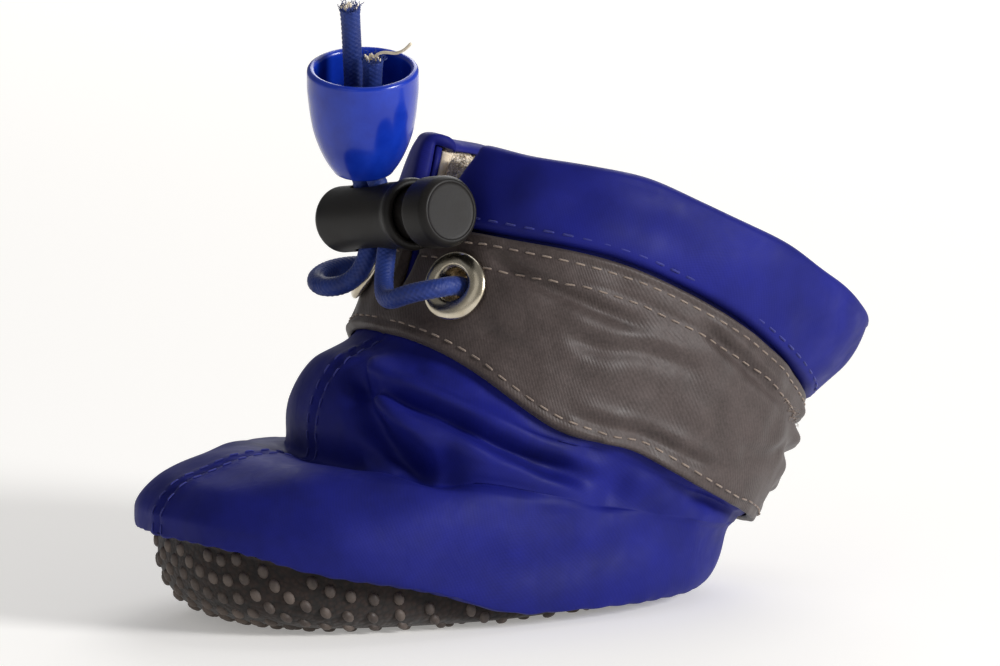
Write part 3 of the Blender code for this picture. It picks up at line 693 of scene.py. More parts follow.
@dataclass(frozen=True)
class PlainFinish(Finish):
    """A moulded, drawn or spun material: one colour with a fine bump and worn gloss.

    grain is the size of the bump in metres and relief its height. worn is the colour that the
    wear turns to, and rough the range of the roughness.
    """

    colour: str
    worn: str
    rough: tuple[float, float]
    grain: float
    relief: float
    metallic: float = 0.0
    coat: float = 0.0
    sheen: float = 0.0
    specular: float = 0.5

    def dress(self, tree: bpy.types.NodeTree, shader: bpy.types.Node,
              place: bpy.types.NodeSocket) -> None:
        """Fine grain in bump, gloss and colour."""
        fine = add(tree, "ShaderNodeTexNoise", {"Vector": place, "Scale": 1.0 / self.grain,
                                                "Detail": 3.0})
        broad = add(tree, "ShaderNodeTexNoise", {"Vector": place, "Scale": 220.0, "Detail": 4.0,
                                                 "Roughness": 0.6})
        share = add(tree, "ShaderNodeMapRange", {"Value": broad.outputs["Fac"], "From Min": 0.38,
                                                 "From Max": 0.72})
        colour = add(tree, "ShaderNodeValToRGB", {0: share.outputs[0]}, (self.colour, self.worn))
        rough = add(tree, "ShaderNodeMapRange", {"Value": broad.outputs["Fac"], "From Min": 0.3,
                                                 "From Max": 0.7, "To Min": self.rough[0],
                                                 "To Max": self.rough[1]})
        bump = add(tree, "ShaderNodeBump", {"Height": fine.outputs["Fac"], "Strength": 0.5,
                                            "Distance": self.relief})
        set_inputs(shader, {"Base Color": colour.outputs[0], "Roughness": rough.outputs[0],
                            "Normal": bump.outputs[0], "Metallic": self.metallic,
                            "Coat Weight": self.coat, "Coat Roughness": 0.08,
                            "Sheen Weight": self.sheen, "Specular IOR Level": self.specular})


NYLON = WovenNylon("woven_nylon_blue")
CUFF_NYLON = WovenNylon("woven_nylon_cuff", colour="#1a1f7a", deep="#151962", crinkle=0.22)
REFLECTIVE = ReflectiveCloth("reflective_tape_cloth")
FLEECE = SherpaFleece("sherpa_fleece")
# The pile's own yarn: crimped polyester, matt, with a soft bloom at its edges.
FLEECE_YARN = PlainFinish("sherpa_pile_yarn", "#f5ead8", "#dccbb0", (0.85, 0.95), 0.0004, 0.00001,
                          sheen=0.5, specular=0.12)
SOLE_CLOTH = SoleKnit("warp_knit_sole_cloth")
# Silicone dots printed on the sole cloth: grey, slightly shiny, worn pale on top.
DOT_RUBBER = PlainFinish("printed_silicone_dots", "#3b312c", "#6a5e56", (0.5, 0.7), 0.0004, 0.00003)
# Nickel-plated pressed brass: bright with a warm cast and fine wear.
NICKEL = PlainFinish("nickel_plated_brass", "#cfc7b6", "#b3a78f", (0.16, 0.32), 0.0006, 0.00001, 1.0)
# Injection-moulded acetal: dense black, satin from the spark-eroded mould.
BLACK_ACETAL = PlainFinish("moulded_black_acetal", "#110f0e", "#1c1917", (0.40, 0.54), 0.0003, 0.00002,
                           specular=0.24)
# Injection-moulded polypropylene in a polished mould: saturated blue with a wet gloss.
BLUE_MOULDING = PlainFinish("moulded_blue_polypropylene", "#0d2c9c", "#1338b2", (0.16, 0.28), 0.0009,
                            0.00001, coat=0.15, specular=0.4)
# Braided polyester sheath of a shock cord: bright blue, satin along each strand.
BRAID = PlainFinish("braided_polyester_sheath", "#102668", "#1a3888", (0.48, 0.64), 0.00018, 0.00003,
                    sheen=0.12, specular=0.35)
# Natural rubber core of the shock cord: many off-white filaments.
RUBBER_CORE = PlainFinish("rubber_core_filaments", "#efe6d4", "#d8c8ad", (0.5, 0.7), 0.0003, 0.00003)
# Spun polyester thread, matt with a little fuzz.
GREY_THREAD = PlainFinish("spun_thread_grey", "#8a7a6e", "#6f6058", (0.7, 0.85), 0.0002, 0.00003, sheen=0.2)
BLUE_THREAD = PlainFinish("spun_thread_blue", "#242a86", "#1b2068", (0.7, 0.85), 0.0002, 0.00003, sheen=0.15)


@dataclass(frozen=True)
class StudioFloor(Finish):
    """Matt white background paper, lit a little from behind like a light table."""

    colour: str = "#f6f4f1"

    def dress(self, tree: bpy.types.NodeTree, shader: bpy.types.Node,
              place: bpy.types.NodeSocket) -> None:
        """Plain and matt."""
        colour = to_linear(self.colour)
        set_inputs(shader, {"Base Color": colour, "Roughness": 0.9, "Specular IOR Level": 0.1,
                            "Emission Color": colour, "Emission Strength": 0.30})


# The shoe's form


@dataclass(frozen=True)
class Crease:
    """A soft trough along a line, with a swell of cloth above it and below it.

    The line's knots are (ring, degrees), in the order of growing degrees, so that above is up.
    The height at a signed distance s from the line is
    depth * (-exp(-(s/w)^2) + above * exp(-((s - 1.6w)/w)^2) + below * exp(-((s + 2.1w)/1.5w)^2)).
    """

    knots: tuple[tuple[float, float], ...]
    depth: float
    width: float
    above: float = 0.45
    below: float = 0.25
    fade: float = 0.22

    def height(self, form: "Form", points: Array, normals: Array) -> Array:
        """Work out the crease's height at points of the form.

        Args:
            form: The shoe's form, which places the knots.
            points: Points, of shape (count, 3).
            normals: Outward directions there.

        Returns:
            Heights along the normals, in metres.
        """
        knots = np.array(self.knots)
        share = np.linspace(0, len(knots) - 1, 6 * len(knots))
        rows = steady_rows(knots, share)
        line = form.surface(rows[:, 0], np.radians(rows[:, 1]))
        nearest = np.full(len(points), np.inf)
        signed = np.zeros(len(points))
        along = np.zeros(len(points))
        count = len(line) - 1
        for k in range(count):
            step = line[k + 1] - line[k]
            rel = points - line[k]
            f = np.clip(rel @ step / (step @ step), 0.0, 1.0)
            away = rel - f[:, None] * step
            distance = np.linalg.norm(away, axis=1)
            closer = distance < nearest
            side = np.sign(np.einsum("ij,ij->i", away, np.cross(normals, step)))
            nearest = np.where(closer, distance, nearest)
            signed = np.where(closer, side * distance, signed)
            along = np.where(closer, (k + f) / count, along)
        ends = ease(along / self.fade) * ease((1 - along) / self.fade)
        w = self.width
        shape = -bell_curve(signed, w)
        shape += self.above * bell_curve(signed - 1.6 * w, w)
        shape += self.below * bell_curve(signed + 2.1 * w, 1.5 * w)
        return self.depth * shape * ends


@dataclass(frozen=True)
class Dimple:
    """A round hollow or swell: depth * exp(-(distance/radius)^2)."""

    ring: float
    degrees: float
    depth: float
    radius: float

    def height(self, form: "Form", points: Array, normals: Array) -> Array:
        """Heights of the hollow at points of the form."""
        centre = form.surface(np.array([self.ring]), np.radians([self.degrees]))[0]
        distance = np.linalg.norm(points - centre, axis=1)
        return -self.depth * bell_curve(distance, self.radius)


# The main creases, from the toe to the collar. Degrees run from the nose round the -Y side.
CREASES = (
    Crease(((7.30, 3.0), (6.85, 9.0), (6.33, 17.5), (5.78, 29.0), (5.44, 40.0), (5.14, 50.0)),
           4.8 * MM, 1.75 * MM, above=0.44, below=0.04, fade=0.22),
    Crease(((6.95, 12.0), (6.74, 20.0), (6.64, 30.5), (6.58, 47.5), (6.24, 66.0), (6.02, 80.0),
            (5.95, 93.0)), 3.9 * MM, 1.3 * MM, above=0.16, below=0.34, fade=0.15),
    Crease(((4.95, -34.0), (4.82, -12.0), (4.80, 12.0), (4.86, 36.0)),
           1.3 * MM, 2.2 * MM, above=0.10, below=0.30),
    Crease(((5.20, 262.0), (5.45, 276.0), (5.85, 288.0), (6.35, 298.0)),
           2.0 * MM, 1.8 * MM, above=0.40, below=0.15, fade=0.30),
    Crease(((6.00, 228.0), (6.15, 246.0), (6.40, 264.0), (6.75, 284.0)),
           1.7 * MM, 1.5 * MM, above=0.30, below=0.35, fade=0.25),
    Crease(((5.55, 22.0), (5.20, 31.0), (4.95, 39.0)), 0.7 * MM, 1.1 * MM),
    Crease(((7.45, 22.0), (7.36, 36.0), (7.40, 52.0)), 0.5 * MM, 1.2 * MM),
    Crease(((5.30, 86.0), (5.10, 102.0), (5.20, 120.0)), 0.6 * MM, 2.4 * MM),
    Crease(((6.90, 100.0), (7.10, 118.0), (7.30, 138.0)), 0.7 * MM, 1.7 * MM),
    Crease(((7.20, 222.0), (6.95, 246.0), (6.80, 262.0)), 0.9 * MM, 1.7 * MM),
    Crease(((3.60, 232.0), (3.30, 252.0), (3.40, 272.0)), 0.6 * MM, 2.6 * MM),
    Crease(((2.60, 34.0), (3.10, 52.0), (3.90, 66.0)), 0.35 * MM, 3.0 * MM, above=0.3, below=0.3),
    Crease(((1.90, 84.0), (2.40, 104.0), (3.20, 120.0)), 0.40 * MM, 2.6 * MM, above=0.3, below=0.3),
    Crease(((9.66, 26.0), (9.56, 36.0), (9.42, 49.5), (9.35, 68.0), (9.30, 86.0)),
           1.0 * MM, 1.0 * MM, above=0.25, below=0.30),
    Crease(((8.98, 58.0), (8.95, 70.0), (9.05, 84.0), (9.10, 98.0)), 0.6 * MM, 1.2 * MM),
    Crease(((8.32, 66.0), (8.30, 82.0), (8.33, 98.0), (8.38, 114.0)), 0.65 * MM, 0.95 * MM),
    Crease(((9.64, 92.0), (9.50, 103.0), (9.42, 114.0), (9.36, 128.0)), 0.9 * MM, 1.0 * MM),
    Crease(((8.66, 34.0), (8.60, 44.0), (8.66, 58.0)), 0.45 * MM, 1.2 * MM),
    Crease(((8.60, 112.0), (8.72, 126.0), (8.95, 140.0)), 0.6 * MM, 1.3 * MM),
    Crease(((8.52, 146.0), (8.46, 166.0), (8.50, 186.0), (8.60, 206.0)), 0.9 * MM, 1.1 * MM),
    Crease(((8.98, 136.0), (9.02, 160.0), (8.97, 184.0), (9.04, 214.0)), 1.1 * MM, 1.1 * MM),
    Crease(((9.50, 138.0), (9.46, 156.0), (9.46, 178.0), (9.52, 206.0)), 1.1 * MM, 0.95 * MM),
    Crease(((8.80, 222.0), (8.70, 250.0), (8.78, 276.0)), 0.6 * MM, 1.5 * MM),
    Crease(((9.45, 236.0), (9.30, 262.0), (9.40, 292.0)), 0.6 * MM, 1.4 * MM),
    Crease(((9.50, 302.0), (9.62, 318.0), (9.70, 330.0)), 0.8 * MM, 1.1 * MM),
    Crease(((11.20, 44.0), (10.90, 66.0), (11.05, 90.0)), 0.30 * MM, 2.2 * MM),
    Crease(((10.70, 112.0), (10.85, 136.0), (11.20, 158.0)), 0.35 * MM, 2.0 * MM),
    Crease(((11.10, 196.0), (10.80, 222.0), (10.95, 250.0)), 0.35 * MM, 2.0 * MM),
    Crease(((10.85, 278.0), (11.05, 300.0), (11.30, 322.0)), 0.30 * MM, 2.2 * MM),
    Dimple(5.22, 50.0, 2.2 * MM, 3.6 * MM),
    Dimple(5.98, 94.0, 1.4 * MM, 2.2 * MM),
    Dimple(5.75, 64.0, -1.0 * MM, 5.5 * MM),
    Dimple(5.35, 284.0, 1.0 * MM, 4.0 * MM),
    Dimple(3.20, 66.0, -0.6 * MM, 12.0 * MM),
    Dimple(3.10, 292.0, -0.7 * MM, 11.0 * MM),
    Dimple(2.60, 150.0, -0.5 * MM, 9.0 * MM),
)


class Form:
    """The shoe's soft shape: a fan of tilted superellipse rings from the seam up to the rim."""

    def __init__(self) -> None:
        """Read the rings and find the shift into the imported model's frame from the upper's box."""
        self.table = np.array([row[1:] for row in RINGS])
        self.move = np.zeros(3)
        rows = np.array((0, 0.33, 0.66, 1, 1.5, 2, 2.5, 3, 3.5, 4.2, 5, 5.35, 6, 6.5, 7, 7.5,
                         8, SLIT_BASE, 8.8, 9.2, 9.6, 10, 10.6, 11.1, 11.55, 12))
        t, a = self.grid(rows, 38)
        low = self.surface(t, a).reshape(-1, 3).min(axis=0)
        self.move = np.array(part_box("upper")[0]) - low
        self.move[2] = 0.0
        ring = np.array(EYELET_RING)
        self.eyelets = [self.surface(ring, np.array(self.eyelet_angle(side))) for side in Side]

    def values(self, t: Array) -> dict[str, Array]:
        """The named columns of the rings at ring number t."""
        rows = steady_rows(self.table, np.asarray(t, float))
        return {name: rows[..., k] for k, name in enumerate(RING_COLUMNS)}

    def seam_height(self, x: Array) -> Array:
        """Height of the sole's rim at x in the rings' own frame, with its corners rounded."""
        share = x / FOOT_LENGTH
        steps = [np.interp(share + d, SEAM_X, SEAM_Z) for d in (-0.035, 0.0, 0.035)]
        return COLLAR_HEIGHT * (steps[0] + steps[1] + steps[2]) / 3

    def surface(self, t: Array, a: Array) -> Array:
        """The upper's outer surface.

        Each ring is a superellipse in a tilted plane from its nose to its heel. Its low rings are
        drawn down to the seam, and its high ones are bowed and shouldered.

        Args:
            t: Ring numbers.
            a: Angles from the nose round the -Y side.

        Returns:
            Points of the surface.
        """
        t, a = np.broadcast_arrays(np.asarray(t, float), np.asarray(a, float))
        v = self.values(t)
        c, s = np.cos(a), np.sin(a)
        power = np.where(c > 0, v["nose_power"], v["heel_power"])
        q = -signed_power(c, 2 / power)
        along = v["widest"] + np.where(q < 0, q * v["widest"], q * (1 - v["widest"]))
        x = FOOT_LENGTH * (v["nose_x"] + (v["heel_x"] - v["nose_x"]) * along)
        y = -BALL_WIDTH * v["half"] * signed_power(s, 2 / power)
        z = v["nose_z"] + (v["heel_z"] - v["nose_z"]) * along
        z = z + v["shoulder"] * np.sin(pi * np.clip(2 * along, 0, 1)) ** 2
        z = COLLAR_HEIGHT * (z + v["bow"] * np.sin(pi * np.clip(along, 0, 1)))
        low = np.clip(t, 0, 1)
        hem = (self.seam_height(x) + GAP) * (1 + 0.12 * low) - 0.026 * COLLAR_HEIGHT * low
        z = z + (hem - z) * np.clip(v["drape"], 0, 1)
        return np.stack([x, y, z], -1) + self.move

    def tangents(self, t: Array, a: Array) -> tuple[Array, Array]:
        """The surface's steps for a unit of angle and a unit of ring number."""
        e = 1e-3
        round_step = (self.surface(t, a + e) - self.surface(t, a - e)) / (2 * e)
        up_step = (self.surface(t + e, a) - self.surface(t - e, a)) / (2 * e)
        return round_step, up_step

    def outward(self, t: Array, a: Array) -> Array:
        """Outward direction of the surface."""
        round_step, up_step = self.tangents(t, a)
        return unit(np.cross(round_step, up_step))

    def way_out(self, t: Array, a: Array) -> Array:
        """Direction in which layers are set off: outward, evened out over the rings of the foot.

        Where the foot's rings crowd together, their directions are averaged over nearly two rings,
        so that thick layers and deep folds don't cross themselves.

        Args:
            t: Ring numbers.
            a: Angles.

        Returns:
            Directions of length one.
        """
        t, a = np.broadcast_arrays(np.asarray(t, float), np.asarray(a, float))
        share = (ease((t - 2.5) / 1.0) * ease((8.7 - t) / 0.6))[..., None]
        total = self.outward(t, a)
        plain = total.copy()
        for step in (0.3, 0.6, 0.9):
            total = total + self.outward(t - step, a) + self.outward(t + step, a)
        return unit(plain * (1 - share) + unit(total) * share)

    def side_angle(self, t: Array, y: Array) -> Array:
        """Angle at which the ring's nose half is y away from the middle."""
        v = self.values(t)
        return np.arcsin((y / (BALL_WIDTH * v["half"])) ** (v["nose_power"] / 2))

    def slit_angle(self, t: Array) -> Array:
        """Angle of the slit's edge at ring t: nothing up to its base, then opening to the rim."""
        opening = np.clip((t - SLIT_BASE) / (RIM - SLIT_BASE), 0, 1)
        return self.side_angle(t, SLIT_HALF_WIDTH * opening)

    def eyelet_angle(self, side: Side) -> float:
        """Angle of the eyelet on one side."""
        return side.value * float(self.side_angle(np.array(EYELET_RING), np.array(EYELET_SIDE)))

    def grid(self, rows: Array, columns: int) -> tuple[Array, Array]:
        """Ring numbers and angles of a grid from one edge of the slit round to the other."""
        t = np.asarray(rows, float)[:, None] * np.ones((1, columns + 1))
        start = self.slit_angle(t)
        return t, start + (2 * pi - 2 * start) * np.linspace(0, 1, columns + 1)[None, :]

    def relief(self, t: Array, a: Array) -> Array:
        """How far the cloth stands out of the plain form: creases, slow swells and seam puckers.

        Args:
            t: Ring numbers.
            a: Angles.

        Returns:
            Heights in metres, of the shape of t.
        """
        points = self.surface(t, a).reshape(-1, 3)
        normals = self.outward(t, a).reshape(-1, 3)
        turn = (np.degrees(a) % 360).ravel()
        ring = t.ravel()
        total = np.zeros(len(points))
        for crease in CREASES:
            total += crease.height(self, points, normals)
        slow = swirl(points, 26 * MM, 11) * 0.28 * MM + swirl(points, 11 * MM, 12) * 0.10 * MM
        total += slow * ease(ring / 2.0) * (1 - 0.5 * ease((ring - 8.0) / 1.0))
        rumple = swirl(points * np.array([1.0, 1.0, 2.2]), 8 * MM, 13) * 0.13 * MM
        aside = ease((np.minimum(turn, 360 - turn) - 14) / 14) * (turn < 292)
        total += rumple * aside * ease((ring - 4.6) / 0.6) * ease((8.2 - ring) / 0.8)
        around = turn / 360 * SEAM_GIRTH
        pucker = np.sin(2 * pi * around / (3.4 * MM) + 1.6 * swirl(points, 13 * MM, 5))
        total += 0.16 * MM * pucker * bell_curve(ring - 0.55, 0.5)
        middle = np.abs(points[:, 1] - self.move[1])
        front = (np.minimum(turn, 360 - turn) < 60) * ease(ring / 0.8) * ease((8.3 - ring) / 0.6)
        seam = -0.42 * MM * bell_curve(middle, 0.45 * MM)
        seam += 0.22 * MM * bell_curve(middle - 1.3 * MM, 0.9 * MM)
        tug = np.sin(2 * pi * (points[:, 0] + points[:, 2]) / (2.9 * MM)) * bell_curve(middle, 2.2 * MM)
        total += front * (seam + 0.07 * MM * tug)
        back = (np.abs(turn - 180) < 40) * ease((ring - 8.0) / 0.2)
        total += back * -0.35 * MM * bell_curve(middle, 0.5 * MM)
        for eyelet in self.eyelets:
            away = np.linalg.norm(points - eyelet, axis=1)
            total *= ease((away - 4.4 * MM) / (3.2 * MM))
        deepest = 8.0 * MM
        total = np.where(total < 0, -deepest * (1 - np.exp(np.minimum(total, 0) / deepest)), total)
        highest = (0.75 + 3.0 * ease((np.minimum(turn, 360 - turn) - 16) / 26)) * MM
        total = np.where(total > 0, highest * (1 - np.exp(-np.maximum(total, 0) / highest)), total)
        return total.reshape(t.shape)

    def cloth(self, t: Array, a: Array, distance: Array | float, relief: Array | None = None) -> Array:
        """Points of a layer of cloth at a distance outside the form, creased with it."""
        height = self.relief(t, a) if relief is None else relief
        return self.surface(t, a) + self.way_out(t, a) * (distance + height)[..., None]

    def spots(self, t: Array, a: Array) -> Array:
        """UV places in metres: the way round at the band, and the way up each column."""
        points = self.surface(t, a)
        return np.stack([a * UV_PER_RADIAN, way_along(points)], -1)

    def eyelet_holes(self, t: Array, a: Array, radius: float) -> Array:
        """The grid's cells that lie within a radius of an eyelet."""
        points = self.surface(t, a)
        middle = (points[:-1, :-1] + points[1:, 1:] + points[1:, :-1] + points[:-1, 1:]) / 4
        near = [np.linalg.norm(middle - eyelet, axis=-1) < radius for eyelet in self.eyelets]
        return near[0] | near[1]


def wrapped(rows: Array) -> int:
    """How many rows lie at or below the slit's base."""
    return int(np.sum(rows <= SLIT_BASE + 1e-9))


def settle(obj: bpy.types.Object, body: Body, slot: str, *nodes: str) -> bpy.types.Object:
    """Let a piece ride on its body and stand for its nodes.

    Args:
        obj: The piece.
        body: The body that it rides on.
        slot: The name of a material slot; not used.
        nodes: The CAD nodes that it replaces.

    Returns:
        The piece.
    """
    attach(obj, body.value)
    if nodes:
        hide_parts(*nodes)
    LOG.info("%s: %d faces", obj.name, len(obj.data.polygons))
    return obj


@dataclass
class StitchRow:
    """A row of sewn stitches, each a thread that arches out of the cloth and back into it."""

    length: float = 1.5 * MM
    pause: float = 0.75 * MM
    radius: float = 0.13 * MM
    rise: float = 0.11 * MM

    def lay(self, skin: Skin, line: Array, normals: Array) -> None:
        """Lay the stitches along a line.

        Every stitch has nine rings of six points. Its middle is the line moved out by
        rise * (1 - w^4) for w from -1 to 1 along it, and its ends dip into the cloth.

        Args:
            skin: The skin that takes them.
            line: Points along the cloth.
            normals: Outward directions there.
        """
        run = way_along(line)
        count = int(run[-1] / (self.length + self.pause))
        if count < 1:
            return
        centre = (np.arange(count) + 0.5) * run[-1] / count
        w = np.linspace(-1, 1, 9)
        where = centre[:, None] + w[None, :] * self.length / 2
        spot = np.stack([np.interp(where, run, line[:, k]) for k in range(3)], -1)
        out = unit(np.stack([np.interp(where, run, normals[:, k]) for k in range(3)], -1))
        spot = spot + out * (self.rise * (1 - w ** 4) - 0.9 * self.radius * w ** 8)[None, :, None]
        way = unit(np.gradient(spot, axis=1))
        side = unit(np.cross(way, out))
        thick = self.radius * np.sqrt(np.maximum(1 - np.abs(w) ** 9, 0.05))
        lay_many(skin, tubes_round(spot, side, out, thick[None, :, None, None], 6))


def tubes_round(middle: Array, first: Array, second: Array, radius: Array, sides: int) -> Array:
    """Grids of tubes: middle + radius * (cos v * first + sin v * second), for (tubes, rings, 3)."""
    v = np.linspace(0, 2 * pi, sides + 1)[None, None, :, None]
    return middle[:, :, None] + radius * (first[:, :, None] * np.cos(v) + second[:, :, None] * np.sin(v))


def lay_many(skin: Skin, grids: Array, flip: bool = False) -> None:
    """Lay many tubes at once, given as (tubes, rings, sides + 1, 3), whose sides wrap round."""
    count, rings, columns = grids.shape[:3]
    plain = np.arange(count * rings * columns).reshape(count, rings, columns) + skin.total
    joined = plain.copy()
    joined[:, :, -1] = joined[:, :, 0]
    skin.points.append(grids.reshape(-1, 3))
    skin.spots.append(np.zeros((grids.size // 3, 2)))
    skin.total += grids.size // 3
    for grid, bag in ((joined, skin.faces), (plain, skin.looks)):
        quads = np.stack([grid[:, :-1, :-1], grid[:, :-1, 1:], grid[:, 1:, 1:], grid[:, 1:, :-1]], -1)
        quads = quads.reshape(-1, 4)
        bag.append(quads[:, ::-1] if flip else quads)


@dataclass
class FleeceCurls:
    """Short curled tufts of fleece, each a thin three-sided strand wound into a loose coil."""

    height: tuple[float, float] = (0.7 * MM, 1.5 * MM)
    coil: tuple[float, float] = (0.30 * MM, 0.58 * MM)
    thick: float = 0.11 * MM
    seed: int = 4

    def lay(self, skin: Skin, roots: Array, normals: Array) -> None:
        """Lay one tuft at each root.

        A tuft's middle at share s is root + normal * height * s * (1 - 0.35 s) and a lean, plus a
        coil of radius r * sqrt(s) that turns one to two times.

        Args:
            skin: The skin that takes them.
            roots: Root points.
            normals: Directions that the tufts stand in.
        """
        rng = np.random.default_rng(self.seed)
        n = len(roots)
        helper = unit(rng.normal(size=(n, 3)))
        first = unit(np.cross(normals, helper))
        second = np.cross(normals, first)
        s = np.linspace(0, 1, 8)[None, :, None]
        tall = rng.uniform(*self.height, (n, 1, 1))
        wide = rng.uniform(*self.coil, (n, 1, 1))
        turns = rng.uniform(0.9, 2.0, (n, 1, 1)) * 2 * pi * np.where(rng.random((n, 1, 1)) < 0.5, -1, 1)
        phase = rng.uniform(0, 2 * pi, (n, 1, 1))
        lean = rng.normal(0, 0.35, (n, 1, 1)) * tall
        angle = phase + turns * s
        coil = first[:, None] * np.cos(angle) + second[:, None] * np.sin(angle)
        middle = (roots[:, None] + normals[:, None] * tall * s * (1 - 0.35 * s)
                  + first[:, None] * lean * s ** 2 + wide * np.sqrt(s) * coil)
        way = unit(np.gradient(middle, axis=1))
        side = unit(np.cross(way, helper[:, None]))
        other = np.cross(way, side)
        radius = self.thick * np.array([1.0, 1.0, 1.0, 0.95, 0.9, 0.8, 0.6, 0.08])[None, :, None, None]
        lay_many(skin, tubes_round(middle, side, other, radius, 3))


# Soft pieces


@dataclass
class FootUpper:
    """The blue nylon upper, from its seam at the sole up under the band and the cuff."""

    form: Form
    columns: int = 336
    rows_foot: int = 104
    rows_shaft: int = 12
    cloth: float = 0.8 * MM

    def build(self) -> list[bpy.types.Object]:
        """Make the nylon and the thread of its front seam."""
        rows = np.concatenate([np.linspace(0, 1.0, 12)[:-1], np.linspace(1.0, 8.3, self.rows_foot),
                               np.linspace(SLIT_BASE, RIM, self.rows_shaft)])
        t, a = self.form.grid(rows, self.columns)
        relief = self.form.relief(t, a)
        outer = self.form.cloth(t, a, 0.0, relief)
        normal = self.form.way_out(t, a)
        level = unit(normal * np.array([1.0, 1.0, 0.0]))
        inward = np.where(t[..., None] < 0.1, level, normal)
        skin = Skin("foot_upper")
        hole = self.form.eyelet_holes(t, a, 3.0 * MM)
        skin.shell(outer, outer - inward * self.cloth, self.form.spots(t, a), wrapped(rows), hole)
        upper = settle(skin.build(NYLON), Body.SHOE, "blue_nylon", "upper")
        return [upper, self.build_seam()]

    def build_seam(self) -> bpy.types.Object:
        """The two rows of thread beside the seam down the middle of the instep."""
        skin = Skin("front_seam_thread")
        t = np.linspace(0.9, 7.9, 260)
        for offset in (1.15 * MM, -1.15 * MM):
            share = np.abs(offset) / (BALL_WIDTH * self.form.values(t)["half"])
            a = np.sign(offset) * np.arcsin(share ** (self.form.values(t)["nose_power"] / 2))
            line = self.form.cloth(t, a, 0.02 * MM)
            StitchRow(1.5 * MM, 0.8 * MM, 0.11 * MM, 0.07 * MM).lay(skin, line, self.form.outward(t, a))
        return settle(skin.build(BLUE_THREAD), Body.SHOE, "blue_nylon")


@dataclass
class Lining:
    """The fleece lining of the upper, seen in the collar and at the slit."""

    form: Form
    columns: int = 260
    low: float = 0.4
    high: float = 11.93
    turn_in: float = 6.6 * MM
    face: float = 0.95 * MM
    back: float = 1.75 * MM
    tufts: int = 4600

    def lie(self, t: Array, a: Array) -> Array:
        """The lining's relief: the nylon's, a little deeper in the troughs and below the band."""
        relief = self.form.relief(t, a)
        deeper = 0.3 * MM * ease((7.8 - t) / 0.6) + 0.6 * MM * ease((2.4 - t) / 1.0)
        return np.minimum(relief, 0) + np.maximum(relief, 0) * 0.4 - deeper

    def build(self) -> list[bpy.types.Object]:
        """Make the lining's clumped face and its curls."""
        rows = np.concatenate([np.linspace(self.low, 1.7, 12), np.linspace(1.85, 7.9, 38),
                               np.linspace(8.0, SLIT_BASE, 6), np.linspace(8.44, self.high, 64)])
        t, a = self.form.grid(rows, self.columns)
        relief = self.lie(t, a)
        outer = self.form.cloth(t, a, -self.face, relief)
        base = self.form.cloth(t, a, -self.back, relief)
        clump = np.abs(swirl(base.reshape(-1, 3), 3.4 * MM, 21)).clip(0, 1.5).reshape(t.shape)
        fine = swirl(base.reshape(-1, 3), 1.3 * MM, 22).reshape(t.shape)
        fluff = (0.60 * clump + 0.12 * fine) * MM
        normal = self.form.way_out(t, a)
        inner = base - normal * np.maximum(fluff, 0)[..., None]
        level = unit(self.form.outward(np.full_like(t, 2.0), a) * np.array([1.0, 1.0, 0.0]))
        level = level * (self.turn_in * ease((1.9 - t) / 1.4))[..., None]
        outer, inner = outer - level, inner - level
        skin = Skin("fleece_lining")
        hole = self.form.eyelet_holes(t, a, 2.9 * MM)
        skin.shell(outer, inner, self.form.spots(t, a), wrapped(rows), hole)
        lining = settle(skin.build(FLEECE), Body.SHOE, "fleece", "upper")
        return [lining, self.build_curls()]

    def build_curls(self) -> bpy.types.Object:
        """The curls of the collar's inside, thickest near the rim and absent behind the slit."""
        rng = np.random.default_rng(31)
        count = self.tufts * 2
        t = 12.05 - 5.2 * rng.random(count) ** 2.0
        start = self.form.slit_angle(np.minimum(t, RIM))
        a = start + (2 * pi - 2 * start) * rng.random(count)
        t_safe = np.minimum(t, 11.86)
        spot = self.form.surface(t_safe, a)
        behind = np.abs(spot[:, 1] - self.form.move[1]) < TONGUE_HALF_WIDTH + 1.0 * MM
        keep = ~(behind & (np.cos(a) > 0))
        t_safe, a = t_safe[keep][:self.tufts], a[keep][:self.tufts]
        normal = self.form.outward(t_safe, a)
        up = unit(self.form.tangents(t_safe, a)[1])
        roots = self.form.cloth(t_safe, a, -self.back, self.lie(t_safe, a))
        skin = Skin("fleece_lining_curls")
        lift = ease((t_safe - 11.2) / 0.8)[:, None]
        FleeceCurls(seed=32).lay(skin, roots, unit(-normal * (1 - 0.35 * lift) + up * 0.75 * lift))
        return settle(skin.build(FLEECE_YARN), Body.SHOE, "fleece")


